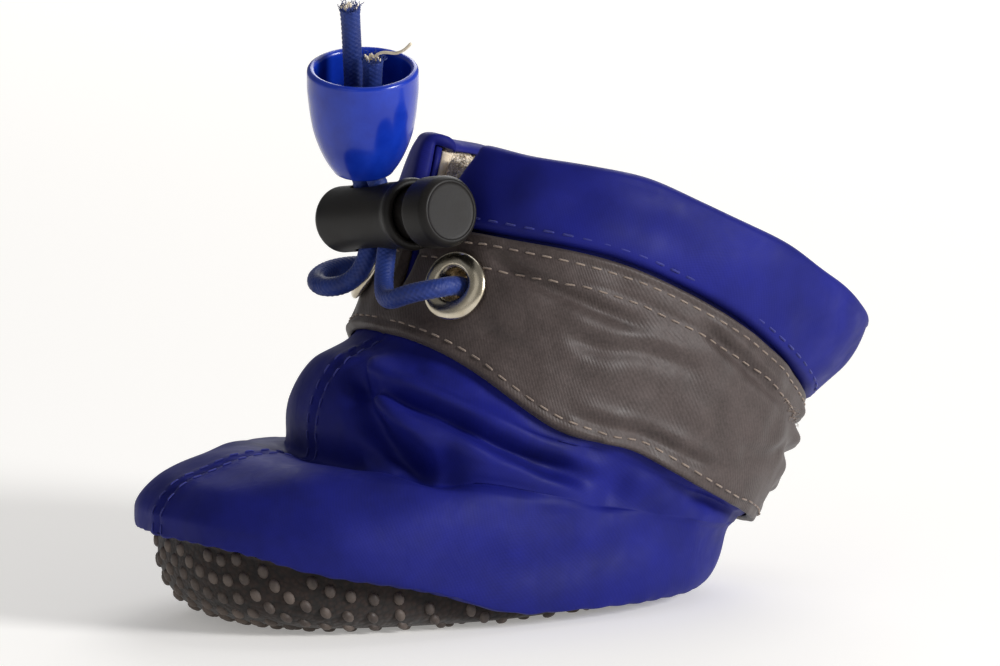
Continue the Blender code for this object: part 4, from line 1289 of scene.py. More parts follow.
@dataclass
class ReflectiveBand:
    """The grey-brown reflective band sewn round the shaft, hemmed along its top."""

    form: Form
    columns: int = 380
    rows: int = 66
    edge: float = 0.55 * MM

    def height(self, t: Array, a: Array) -> Array:
        """How far the band's face stands out of the form.

        It is the band's thickness, rounded off at both edges and at the slit, raised a little over
        the folded hem and drawn down along each stitch line.

        Args:
            t: Ring numbers.
            a: Angles.

        Returns:
            Distances in metres.
        """
        step = np.linalg.norm(self.form.tangents(t, a)[1], axis=-1)
        low, top = (t - BAND_LOW) * step, (BAND_TOP - t) * step
        turn = a % (2 * pi)
        start = self.form.slit_angle(t)
        round_step = np.linalg.norm(self.form.tangents(t, a)[0], axis=-1)
        slit = np.where(t > SLIT_BASE, np.minimum(turn - start, 2 * pi - start - turn) * round_step, 1.0)
        body = edge_round(low, self.edge) * edge_round(top, self.edge) * edge_round(slit, self.edge)
        hem = 0.16 * MM * (ease((4.9 * MM - top) / (0.5 * MM)))
        drawn = 0.13 * MM * sum(bell_curve(away, 0.45 * MM) for away in (
            top - HEM_STITCHES[0], top - HEM_STITCHES[1], low - LOW_STITCHES))
        return GAP + (BAND_THICKNESS * (0.35 + 0.65 * body)) + (hem - drawn) * body

    def face(self, t: Array, a: Array) -> Array:
        """Points of the band's face, with the fine gathers that its stitches draw."""
        points = self.form.surface(t, a)
        gather = swirl(points.reshape(-1, 3), 5.2 * MM, 41).reshape(t.shape) * 0.07 * MM
        return self.form.cloth(t, a, self.height(t, a) + gather)

    def build(self) -> list[bpy.types.Object]:
        """Make the band and its thread."""
        rows = np.linspace(BAND_LOW, BAND_TOP, self.rows)
        rows[np.argmin(np.abs(rows - SLIT_BASE))] = SLIT_BASE
        t, a = self.form.grid(rows, self.columns)
        skin = Skin("reflective_band_cloth")
        hole = self.form.eyelet_holes(t, a, 3.0 * MM)
        skin.shell(self.face(t, a), self.form.cloth(t, a, GAP), self.form.spots(t, a), wrapped(rows), hole)
        band = settle(skin.build(REFLECTIVE), Body.SHOE, "reflective_fabric", "reflective_band")
        return [band, self.build_thread(), self.build_frays()]

    def build_frays(self) -> bpy.types.Object:
        """Loose fibres of the raw edge that shows at the back, below the hem."""
        rng = np.random.default_rng(43)
        n = 170
        t = rng.normal(9.46, 0.05, n)
        a = np.radians(rng.uniform(128, 206, n))
        normal, up = self.form.outward(t, a), unit(self.form.tangents(t, a)[1])
        skin = Skin("band_frays")
        curls = FleeceCurls(height=(0.5 * MM, 1.5 * MM), coil=(0.1 * MM, 0.4 * MM), thick=0.05 * MM, seed=44)
        curls.lay(skin, self.face(t, a) - normal * 0.2 * MM, unit(normal - 0.9 * up))
        return settle(skin.build(GREY_THREAD), Body.SHOE, "reflective_fabric")

    def build_thread(self) -> bpy.types.Object:
        """Three rows of stitches: two along the hem and one along the lower edge."""
        skin = Skin("band_thread")
        around = np.linspace(0.2, 2 * pi - 0.2, 900)
        for where, from_top in ((HEM_STITCHES[0], True), (HEM_STITCHES[1], True), (LOW_STITCHES, False)):
            start = self.form.slit_angle(self.ring_at(where, from_top, around)[0]) + 0.03
            a = np.linspace(start, 2 * pi - start, len(around))
            t = self.ring_at(where, from_top, a)
            StitchRow().lay(skin, self.face(t, a), self.form.outward(t, a))
        return settle(skin.build(GREY_THREAD), Body.SHOE, "reflective_fabric")

    def ring_at(self, distance: float, from_top: bool, a: Array) -> Array:
        """Ring numbers at a distance from the band's upper or lower edge, at each angle."""
        rings = np.linspace(BAND_LOW, BAND_TOP, 60)[:, None] * np.ones((1, len(a)))
        points = self.form.surface(rings, a[None, :] * np.ones_like(rings))
        run = way_along(points)
        run = run[-1] - run if from_top else run
        order = np.abs(run - distance).argmin(axis=0)
        found = rings[order, np.arange(len(a))]
        kernel = np.ones(15) / 15
        return np.convolve(np.pad(found, 7, mode="edge"), kernel, mode="valid")


@dataclass
class Cuff:
    """The padded nylon cuff, rolled over the collar's rim and open at the slit."""

    form: Form
    columns: int = 340
    rows_side: int = 30
    rows_roll: int = 16

    def build(self) -> list[bpy.types.Object]:
        """Make the cuff, whose section is a padded side and a rolled top."""
        rows = np.linspace(CUFF_LOW, RIM, self.rows_side)
        t, a = self.form.grid(rows, self.columns)
        relief = self.form.relief(t, a)
        step = np.linalg.norm(self.form.tangents(t, a)[1], axis=-1)
        low = (t - CUFF_LOW) * step
        round_step = np.linalg.norm(self.form.tangents(t, a)[0], axis=-1)
        start = self.form.slit_angle(t)
        slit = np.minimum(a - start, 2 * pi - start - a) * round_step
        plump = edge_round(low, 1.1 * MM) * (0.25 + 0.75 * edge_round(slit, 1.2 * MM))
        swell = 0.45 * MM * np.sin(pi * np.clip((t - CUFF_LOW) / (RIM - CUFF_LOW), 0, 1)) ** 0.8
        ripple = swirl(self.form.surface(t, a).reshape(-1, 3), 8 * MM, 51).reshape(t.shape) * 0.10 * MM
        thick = GAP + CUFF_THICKNESS * (0.2 + 0.8 * plump) + (swell + ripple) * plump
        side = self.form.cloth(t, a, thick, relief)
        under = self.form.cloth(t, a, GAP, relief)
        rim, edge = self.roll(t[-1], a[-1], relief[-1], plump[-1])
        outer = np.concatenate([side, rim])
        inner = np.concatenate([under, edge])
        wide = np.concatenate([a, np.repeat(a[-1:], len(rim), axis=0)])
        skin = Skin("rolled_cuff")
        skin.shell(outer, inner, np.stack([wide * UV_PER_RADIAN, way_along(outer)], -1), 0)
        cuff = settle(skin.build(CUFF_NYLON), Body.SHOE, "blue_nylon", "cuff")
        return [cuff, self.build_thread()]

    def roll(self, t: Array, a: Array, relief: Array, plump: Array) -> tuple[Array, Array]:
        """The rolled top: half an oval from the cuff's side over the rim to the lining.

        Args:
            t: Ring numbers along the rim.
            a: Angles along the rim.
            relief: The cloth's relief there.
            plump: How full the cuff is there.

        Returns:
            Outer and inner points, rows by columns.
        """
        rim = self.form.surface(t, a)
        out = self.form.outward(t, a)
        up = unit(self.form.tangents(t, a)[1])
        thick = GAP + CUFF_THICKNESS * (0.2 + 0.8 * plump)
        centre = (thick + relief - UPPER_WALL) / 2
        half = (thick + relief + UPPER_WALL) / 2
        wave = 0.15 * MM * swirl(rim, 12 * MM, 52)
        phi = np.linspace(0, pi, self.rows_roll + 1)[1:, None]
        lift = (GAP + CUFF_ROLL - 0.2 * MM + wave)[None] * np.sin(phi) ** 0.8
        sideways = centre[None] + half[None] * np.cos(phi)
        outer = rim[None] + out[None] * sideways[..., None] + up[None] * lift[..., None]
        low = np.linspace(0, 1, self.rows_roll)[:, None]
        inner = (rim[None] + out[None] * (GAP * (1 - low) - (UPPER_WALL - 0.3 * MM) * low)[..., None]
                 + up[None] * (GAP * (0.4 + 0.6 * np.sin(pi * low / 2)))[..., None])
        return outer, inner

    def build_thread(self) -> bpy.types.Object:
        """The row of stitches that closes the cuff above its lower edge."""
        skin = Skin("cuff_thread")
        t = np.full(900, CUFF_LOW + 0.20)
        start = self.form.slit_angle(t) + 0.05
        a = start + (2 * pi - 2 * start) * np.linspace(0, 1, 900)
        line = self.form.cloth(t, a, GAP + CUFF_THICKNESS + 0.12 * MM)
        StitchRow(1.7 * MM, 0.9 * MM, 0.13 * MM, 0.08 * MM).lay(skin, line, self.form.outward(t, a))
        return settle(skin.build(BLUE_THREAD), Body.SHOE, "blue_nylon")


@dataclass
class Tongue:
    """The fleece panel behind the slit."""

    form: Form
    depth: float = UPPER_WALL + GAP + 0.1 * MM

    def build(self) -> list[bpy.types.Object]:
        """Make the panel's two clumped faces and the curls that fill the slit."""
        t = np.linspace(8.05, 11.75, 64)[:, None] * np.ones((1, 49))
        a = self.form.side_angle(t, np.array(TONGUE_HALF_WIDTH)) * np.linspace(-1, 1, 49)[None, :]
        normal = self.form.outward(t, a)
        base = self.form.surface(t, a)
        clump = np.abs(swirl(base.reshape(-1, 3), 2.5 * MM, 61)).clip(0, 1.6).reshape(t.shape) * 0.45 * MM
        fine = swirl(base.reshape(-1, 3), 1.2 * MM, 62).reshape(t.shape) * 0.08 * MM
        open_slit = ease((self.form.slit_angle(t) + 0.02 - np.abs(a)) / 0.10)
        front = base - normal * (self.depth - (clump + fine) * open_slit)[..., None]
        rear = base - normal * (self.depth + TONGUE_THICKNESS + clump * 0.6)[..., None]
        spots = np.stack([a * UV_PER_RADIAN, t * 3 * MM], -1)
        skin = Skin("tongue_fleece")
        skin.shell(front, rear, spots, 0)
        tongue = settle(skin.build(FLEECE), Body.SHOE, "fleece", "tongue")
        return [tongue, self.build_curls()]

    def build_curls(self) -> bpy.types.Object:
        """Curls on the front in the slit, on the back and along the top edge."""
        rng = np.random.default_rng(63)
        skin = Skin("tongue_curls")
        n = 1700
        t = rng.uniform(8.9, 11.75, n)
        a = self.form.slit_angle(t) * rng.uniform(-0.9, 0.9, n)
        normal = self.form.outward(t, a)
        roots = self.form.surface(t, a) - normal * (self.depth - 0.1 * MM)
        FleeceCurls(height=(1.2 * MM, 2.0 * MM), seed=64).lay(skin, roots, normal)
        n = 1500
        t = rng.uniform(9.0, 11.75, n)
        a = self.form.side_angle(t, np.array(TONGUE_HALF_WIDTH)) * rng.uniform(-0.95, 0.95, n)
        normal = self.form.outward(t, a)
        roots = self.form.surface(t, a) - normal * (self.depth + TONGUE_THICKNESS)
        FleeceCurls(seed=65).lay(skin, roots, -normal)
        n = 420
        t = rng.uniform(11.55, 11.78, n)
        a = self.form.side_angle(t, np.array(TONGUE_HALF_WIDTH)) * rng.uniform(-0.98, 0.98, n)
        normal = self.form.outward(t, a)
        up = unit(self.form.tangents(t, a)[1])
        roots = self.form.surface(t, a) - normal * (self.depth + TONGUE_THICKNESS * rng.random(n))[:, None]
        FleeceCurls(seed=66).lay(skin, roots, unit(up - 0.4 * normal))
        return settle(skin.build(FLEECE_YARN), Body.SHOE, "fleece")


# The sole


@dataclass
class Outsole:
    """The sole cloth, cupped up round the toe, with its printed dots."""

    form: Form
    columns: int = 240
    rows: int = 56
    dot: float = 0.95 * MM
    dot_rise: float = 0.5 * MM
    pitch: float = 3.3 * MM

    def ring(self, place: Array, a: Array, inset: float, floor: float) -> Array:
        """Points of the sole at a place between the middle, 0, and the rim, 1, of its profile."""
        rows = self.profile(place)
        return self.spread(rows[..., 0], rows[..., 1], a, inset, floor)

    def spread(self, share: Array, rise: Array, a: Array, inset: float, floor: float) -> Array:
        """Points of the sole: the rim drawn in by share, and lifted by a share of its height.

        Args:
            share: The share of the way from the sole's middle to its rim.
            rise: The share of the rim's height.
            a: Angles round the rim.
            inset: How far the layer lies inside the rim.
            floor: The height of its flat part.

        Returns:
            Points of the layer.
        """
        share, rise, a = np.broadcast_arrays(share, rise, a)
        rim = self.form.surface(np.zeros_like(a), a) - self.form.move
        half_length, half_width = 0.43 * FOOT_LENGTH, BALL_WIDTH * RINGS[0][5]
        top = self.form.seam_height(rim[..., 0])
        highest = self.form.seam_height(np.array([-0.5 * FOOT_LENGTH]))[0]
        drawn = 1 - (1 - share) * (0.35 + 0.65 * top / highest)
        x = rim[..., 0] * drawn * (half_length - inset) / half_length
        y = rim[..., 1] * drawn * (half_width - inset) / half_width
        z = floor + np.maximum(top - floor, 0.0) * rise
        return np.stack([x, y, z], -1) + self.form.move

    def profile(self, place: Array) -> Array:
        """Shares of the way out and of the rim's height, by a steady cubic through the table."""
        table = np.array(SOLE_PROFILE)
        return steady_rows(table, np.asarray(place) * (len(table) - 1))

    def build(self) -> list[bpy.types.Object]:
        """Make the cloth and the dots."""
        share = np.linspace(0.0, 1.0, self.rows)[:, None]
        a = np.linspace(0, 2 * pi, self.columns + 1)[None, :]
        lift = np.array([0.0, 0.0, 1.0]) * self.dot_rise * (1 - self.profile(share)[..., 1])[..., None]
        under = self.ring(share, a, 0.2 * MM, 0.0) + lift
        over = self.ring(share, a, SOLE_THICKNESS, SOLE_THICKNESS)
        under[0], over[0] = under[0, 0], over[0, 0]
        spots = under[..., :2]
        skin = Skin("sole_cloth")
        u = skin.lay(under, spots, wrap=len(share), start_pole=True, flip=True)
        o = skin.lay(over, spots, wrap=len(share), start_pole=True)
        skin.bridge((u[0][-1], u[1][-1]), (o[0][-1], o[1][-1]))
        cloth = settle(skin.build(SOLE_CLOTH), Body.SHOE, "sole_fabric", "outsole")
        return [cloth, self.build_dots()]

    def build_dots(self) -> bpy.types.Object:
        """The printed dots, in staggered rows on the sole laid flat, then put back on its shape.

        A dot's place on the flat sole is a direction and a way out from the middle. The way out is
        measured along the cloth, so the rows stay even where the sole turns up.
        """
        shares = np.linspace(0.0, 1.0, 90)
        angles = np.linspace(0, 2 * pi, 721)
        table = self.ring(shares[:, None], angles[None, :], 0.2 * MM, 0.0)
        run = way_along(table)
        edge = self.form.move - table[-1]
        heading = np.unwrap(np.arctan2(edge[:, 1], edge[:, 0]))
        n = 22
        i, j = np.meshgrid(np.arange(-n, n + 1), np.arange(-n, n + 1))
        flat = np.stack([(i + 0.5 * (j % 2)) * self.pitch, j * self.pitch * 0.62], -1).reshape(-1, 2)
        way = np.arctan2(-flat[:, 1], -flat[:, 0]) % (2 * pi)
        a = np.interp(way, heading, angles)
        column = np.clip((a / (2 * pi) * 720).round().astype(int), 0, 720)
        out = np.linalg.norm(flat, axis=1)
        keep = out < run[-1, column] - 0.9 * MM
        a, out, column = a[keep], out[keep], column[keep]
        row = (run[:, column] < out[None, :]).sum(axis=0).clip(1, len(shares) - 1)
        low, high = run[row - 1, column], run[row, column]
        share = shares[row - 1] + (shares[row] - shares[row - 1]) * (out - low) / np.maximum(high - low, 1e-9)
        spot = self.ring(share, a, 0.2 * MM, 0.0)
        apart = np.linalg.norm(spot[:, None] - spot[None], axis=-1)
        keep = ~(np.tril(apart < 1.9 * MM, -1).any(axis=1))
        share, a, spot = share[keep], a[keep], spot[keep]
        e = 1e-3
        outer = self.ring(np.minimum(share + e, 1.0), a, 0.2 * MM, 0.0)
        inner = self.ring(np.maximum(share - e, 0.0), a, 0.2 * MM, 0.0)
        radial = unit(outer - inner)
        tangent = unit(self.ring(share, a + e, 0.2 * MM, 0.0) - self.ring(share, a - e, 0.2 * MM, 0.0))
        down = unit(np.cross(radial, tangent))
        down = np.where(down[:, 2:3] > 0, -down, down)
        lift = np.array([0.0, 0.0, 1.0]) * self.dot_rise * (1 - self.profile(share)[:, 1])[:, None]
        base = spot + lift - down * 0.12 * MM
        w = np.linspace(0, 1, 5)[None, :, None, None]
        v = np.linspace(0, 2 * pi, 13)[None, None, :, None]
        ring_radius = self.dot * np.cos(w * pi / 2) ** 0.7
        tall = (self.dot_rise + 0.12 * MM) * np.sin(w * pi / 2)
        grids = (base[:, None, None] + radial[:, None, None] * np.cos(v) * ring_radius
                 + tangent[:, None, None] * np.sin(v) * ring_radius * 0.8 + down[:, None, None] * tall)
        grids[..., 2] = np.maximum(grids[..., 2], 0.0)
        skin = Skin("sole_dots")
        lay_many(skin, grids, flip=True)
        return settle(skin.build(DOT_RUBBER), Body.SHOE, "sole_fabric")


@dataclass
class Insole:
    """The fleece pad inside, on the sole."""

    form: Form
    sole: Outsole

    def build(self) -> list[bpy.types.Object]:
        """Make the clumped pad."""
        shares = np.array([0.0, 0.45, 0.70, 0.84, 0.92, 0.955, 0.985])
        rise = np.array([0.0, 0.0, 0.02, 0.18, 0.38, 0.66, 0.95])
        thick = np.array([1.0, 1.0, 0.98, 0.86, 0.80, 0.78, 0.78])
        inset, floor = UPPER_WALL + 2 * GAP, SOLE_THICKNESS + GAP
        share = np.linspace(0, 0.985, 60)[:, None]
        a = np.linspace(0, 2 * pi, 181)[None, :]
        plan = self.sole.spread(share, np.interp(share, shares, rise), a, inset, floor)
        clump = np.abs(swirl(plan.reshape(-1, 3), 2.8 * MM, 71)).clip(0, 1.5).reshape(plan.shape[:2])
        rounded = np.sqrt(np.clip((0.99 - share) / 0.05, 0, 1))
        top = plan.copy()
        top[..., 2] += INSOLE_THICKNESS * np.interp(share, shares, thick) * (0.15 + 0.85 * rounded) + (
            0.70 * MM * (clump - 0.4) * rounded)
        plan[0], top[0] = plan[0, 0], top[0, 0]
        skin = Skin("insole_fleece")
        u = skin.lay(plan, plan[..., :2], wrap=60, start_pole=True, flip=True)
        o = skin.lay(top, plan[..., :2], wrap=60, start_pole=True)
        skin.bridge((u[0][-1], u[1][-1]), (o[0][-1], o[1][-1]))
        pad = settle(skin.build(FLEECE), Body.SHOE, "fleece", "insole")
        return [pad]


# Fittings


@dataclass
class Eyelet:
    """A pressed grommet with a rolled flange and a barrel through the band."""

    form: Form
    side: Side

    def place(self, sideways: Array, height: Array, out: Array) -> Array:
        """Points given sideways, up and out at the eyelet, which follow the shaft."""
        t0, a0 = np.array(EYELET_RING), np.array(self.form.eyelet_angle(self.side))
        round_step, up_step = self.form.tangents(t0, a0)
        normal = self.form.outward(t0, a0)
        across = unit(round_step)
        up = np.cross(normal, across)
        steps = np.array([[round_step @ across, up_step @ across], [round_step @ up, up_step @ up]])
        turn, ring = np.einsum("ij,j...->i...", np.linalg.inv(steps), np.stack([sideways, height]))
        base = self.form.surface(t0 + ring, a0 + turn)
        return base + self.form.outward(t0 + ring, a0 + turn) * out[..., None]

    def build(self) -> list[bpy.types.Object]:
        """Make the grommet: a smooth section of its flange and barrel, turned about its axis."""
        hole = CORD_DIAMETER / 2 + EYELET_CLEARANCE
        barrel = hole + EYELET_WALL
        seat = 2 * GAP + BAND_THICKNESS
        edge = EYELET_DIAMETER / 2
        corners = ((hole, -1.1 * MM), (barrel, -1.1 * MM), (barrel, seat - 0.2 * MM),
                   (0.97 * edge, seat - 0.1 * MM), (edge, seat + 0.25 * MM),
                   (0.96 * edge, seat + 0.65 * MM), (0.82 * edge, seat + 1.0 * MM),
                   (0.64 * edge, seat + 1.05 * MM), (0.52 * edge, seat + 0.85 * MM),
                   (hole, seat + 0.25 * MM), (hole, -1.1 * MM))
        profile = rounded_profile(corners, 0.5 * MM, 4)[:-1]
        skin = Skin("grommet_" + self.side.name.lower())
        lathe(skin, profile, self.place, 72, loop=True)
        node = "eyelet_near" if self.side is Side.NEAR else "eyelet_far"
        return [settle(skin.build(NICKEL), Body.SHOE, "nickel", node)]


class LockPlace:
    """Where the cord lock lies: its centre, its directions and its cord hole."""

    def __init__(self, form: Form) -> None:
        """Stand the lock off the cuff's front, level with the lock's ring."""
        front = form.surface(np.array(LOCK_RING), np.array(0.0))
        stand = GAP + CUFF_THICKNESS + 1.2 * MM + LOCK_DIAMETER / 2
        self.centre = front + np.array([-stand, -0.065 * BALL_WIDTH, 0.8 * MM])
        self.along = unit(np.array([0.139, -0.980, 0.143]))
        rise = np.array([0.0, 0.0, 1.0])
        self.axis = unit(rise - self.along * (rise @ self.along))
        self.across = np.cross(self.axis, self.along)
        self.mouth = self.centre + self.along * (-0.16 * LOCK_LENGTH)

    def place(self, sideways: Array, forward: Array, height: Array) -> Array:
        """Points in the lock's frame, with the height along its barrel."""
        return (self.centre + self.across * sideways[..., None] + self.axis * forward[..., None]
                + self.along * height[..., None])


class BellPlace:
    """Where the cord end's bell stands: its neck and its directions."""

    def __init__(self, lock: LockPlace) -> None:
        """Stand the bell on the lock's hole, leaning forwards."""
        lean = radians(17)
        self.up = np.array([-0.5 * sin(lean), -0.866 * sin(lean), cos(lean)])
        self.across = unit(lock.along - self.up * (lock.along @ self.up))
        self.front = np.cross(self.up, self.across)
        self.neck = lock.mouth + lock.axis * (LOCK_DIAMETER / 2 + 1.6 * MM) + np.array([-1.2 * MM, 0.0, 0.0])

    def place(self, sideways: Array, forward: Array, height: Array) -> Array:
        """Points in the bell's frame."""
        return (self.neck + self.across * sideways[..., None] + self.front * forward[..., None]
                + self.up * height[..., None])


@dataclass
class CordLock:
    """The black toggle: a barrel and a spring plunger, with one slot for both cords."""

    at: LockPlace

    def build(self) -> list[bpy.types.Object]:
        """Make the barrel and the plunger, and cut the slot through both."""
        r, half = LOCK_DIAMETER / 2, LOCK_LENGTH / 2
        end = -half + BARREL_SHARE * LOCK_LENGTH
        bottom = -half + LOCK_END_WALL
        bore = LOCK_BORE / 2
        groove = end - 1.6 * MM
        slim = 0.92 * r
        barrel_corners = ((0.0, -half), (0.60 * r, -half), (0.62 * r, -half + 0.15 * MM),
                          (0.80 * r, -half + 0.15 * MM), (slim, -half + 1.1 * MM),
                          (slim, groove - 0.5 * MM), (0.955 * r, groove),
                          (r, groove + 0.5 * MM), (r, end - 0.45 * MM), (0.93 * r, end), (bore, end),
                          (bore, bottom), (0.0, bottom))
        stem = PLUNGER_STEM / 2
        tip = bottom + PLUNGER_TRAVEL + GAP
        head = end + PLUNGER_TRAVEL + GAP
        plunger_corners = ((0.0, tip), (stem, tip), (stem, head), (0.94 * r, head),
                           (0.985 * r, head + 0.5 * MM), (0.985 * r, half - 0.9 * MM),
                           (0.88 * r, half - 0.1 * MM), (0.80 * r, half),
                           (0.77 * r, half - 0.18 * MM), (0.0, half - 0.18 * MM))
        hole = -0.16 * LOCK_LENGTH
        reach = CORD_SPACING / 2 + CORD_DIAMETER / 2 + 3 * CORD_CLEARANCE
        pieces = []
        for name, corners, body, node, far in (
                ("toggle_barrel", barrel_corners, Body.SHOE, "lock_barrel", 0.0),
                ("toggle_plunger", plunger_corners, Body.PLUNGER, "lock_plunger", PLUNGER_TRAVEL)):
            skin = Skin(name)
            lathe(skin, rounded_profile(corners, 0.35 * MM, 4), self.at.place, 96, loop=False)
            obj = skin.build(BLACK_ACETAL, sharp=50)
            cutter = self.slot_cutter(hole - reach, hole + reach + far)
            cut_through(obj, cutter)
            pieces.append(settle(obj, body, "black_plastic", node))
        return pieces

    def slot_cutter(self, start: float, end: float) -> bpy.types.Object:
        """A tall solid whose section is a slot with round ends."""
        half = CORD_DIAMETER / 2 + 1.5 * CORD_CLEARANCE
        v = np.linspace(0, 2 * pi, 49)
        shift = np.where(np.cos(v) >= 0, end - half, start + half)
        along = shift + half * np.cos(v)
        across = half * np.sin(v)
        rows = np.array([-1.0, -1.0, 1.0, 1.0])[:, None] * LOCK_DIAMETER
        shrink = np.array([0.0, 1.0, 1.0, 0.0])[:, None]
        middle = (start + end) / 2
        grid = self.at.place(across * shrink, rows * np.ones((1, 49)), middle + (along - middle) * shrink)
        skin = Skin("slot_cutter")
        skin.lay(grid, wrap=4, start_pole=True, end_pole=True)
        return skin.build(BLACK_ACETAL)


def cut_through(obj: bpy.types.Object, cutter: bpy.types.Object) -> None:
    """Cut one solid by another for good, and drop the cutter.

    Args:
        obj: The solid that is cut.
        cutter: The solid that cuts.
    """
    for solid in (obj, cutter):
        outwards(solid)
    modifier = obj.modifiers.new("slot", "BOOLEAN")
    modifier.operation = "DIFFERENCE"
    modifier.solver = "EXACT"
    modifier.object = cutter
    bpy.context.view_layer.update()
    graph = bpy.context.evaluated_depsgraph_get()
    mesh = bpy.data.meshes.new_from_object(obj.evaluated_get(graph))
    obj.modifiers.remove(modifier)
    mesh.name = obj.name
    mesh.set_sharp_from_angle(angle=radians(45))
    obj.data = mesh
    bpy.data.objects.remove(cutter, do_unlink=True)


def outwards(obj: bpy.types.Object) -> None:
    """Turn a closed mesh's faces outwards if its volume comes out negative."""
    mesh = obj.data
    mesh.calc_loop_triangles()
    points = np.zeros(len(mesh.vertices) * 3)
    mesh.vertices.foreach_get("co", points)
    corners = np.zeros(len(mesh.loop_triangles) * 3, np.int32)
    mesh.loop_triangles.foreach_get("vertices", corners)
    tri = points.reshape(-1, 3)[corners.reshape(-1, 3)]
    volume = np.einsum("ij,ij->i", tri[:, 0], np.cross(tri[:, 1], tri[:, 2])).sum() / 6
    if volume < 0:
        mesh.flip_normals()


@dataclass
class CordBell:
    """The blue cup that hides the cords' ends."""

    at: BellPlace

    def build(self) -> list[bpy.types.Object]:
        """Make the cup: a rounded outside, a rolled lip and an inside down to the cords' slot."""
        r, h, neck = BELL_DIAMETER / 2, BELL_HEIGHT, BELL_NECK / 2
        outside = np.array(((0.00, 0.0), (0.10, 0.28), (0.25, 0.58), (0.42, 0.80), (0.62, 0.93),
                            (0.82, 1.0), (0.96, 1.0)))
        rows = steady_rows(outside, np.linspace(0, 6, 40))
        wall = neck + (r - neck) * rows[:, 1]
        outer = np.stack([wall, wall, h * rows[:, 0]], -1)
        f = np.linspace(0, pi, 9)[1:-1]
        lip = r - BELL_WALL / 2 + BELL_WALL / 2 * np.cos(f)
        lip_rows = np.stack([lip, lip, 0.96 * h + 0.04 * h * np.sin(f)], -1)
        long = CORD_SPACING / 2 + CORD_DIAMETER / 2 + 1.6 * CORD_CLEARANCE
        wide = CORD_DIAMETER / 2 + 2.4 * CORD_CLEARANCE
        inside = np.array(((0.96, 1.0), (0.80, 1.0), (0.60, 0.92), (0.40, 0.74), (0.24, 0.46),
                           (0.14, 0.22), (0.0, 0.0)))
        back = steady_rows(inside, np.linspace(0, 6, 36))
        radii = [low + (r - BELL_WALL - low) * back[:, 1] for low in (long, wide)]
        inner = np.stack([*radii, h * back[:, 0]], -1)
        foot = np.stack([np.linspace(long, neck, 5)[1:-1], np.linspace(wide, neck, 5)[1:-1], np.zeros(3)], -1)
        skin = Skin("bell_cup")
        lathe(skin, np.concatenate([outer, lip_rows, inner, foot]), self.at.place, 96, loop=True)
        return [settle(skin.build(BLUE_MOULDING, sharp=60), Body.SHOE, "blue_plastic", "cord_bell")]


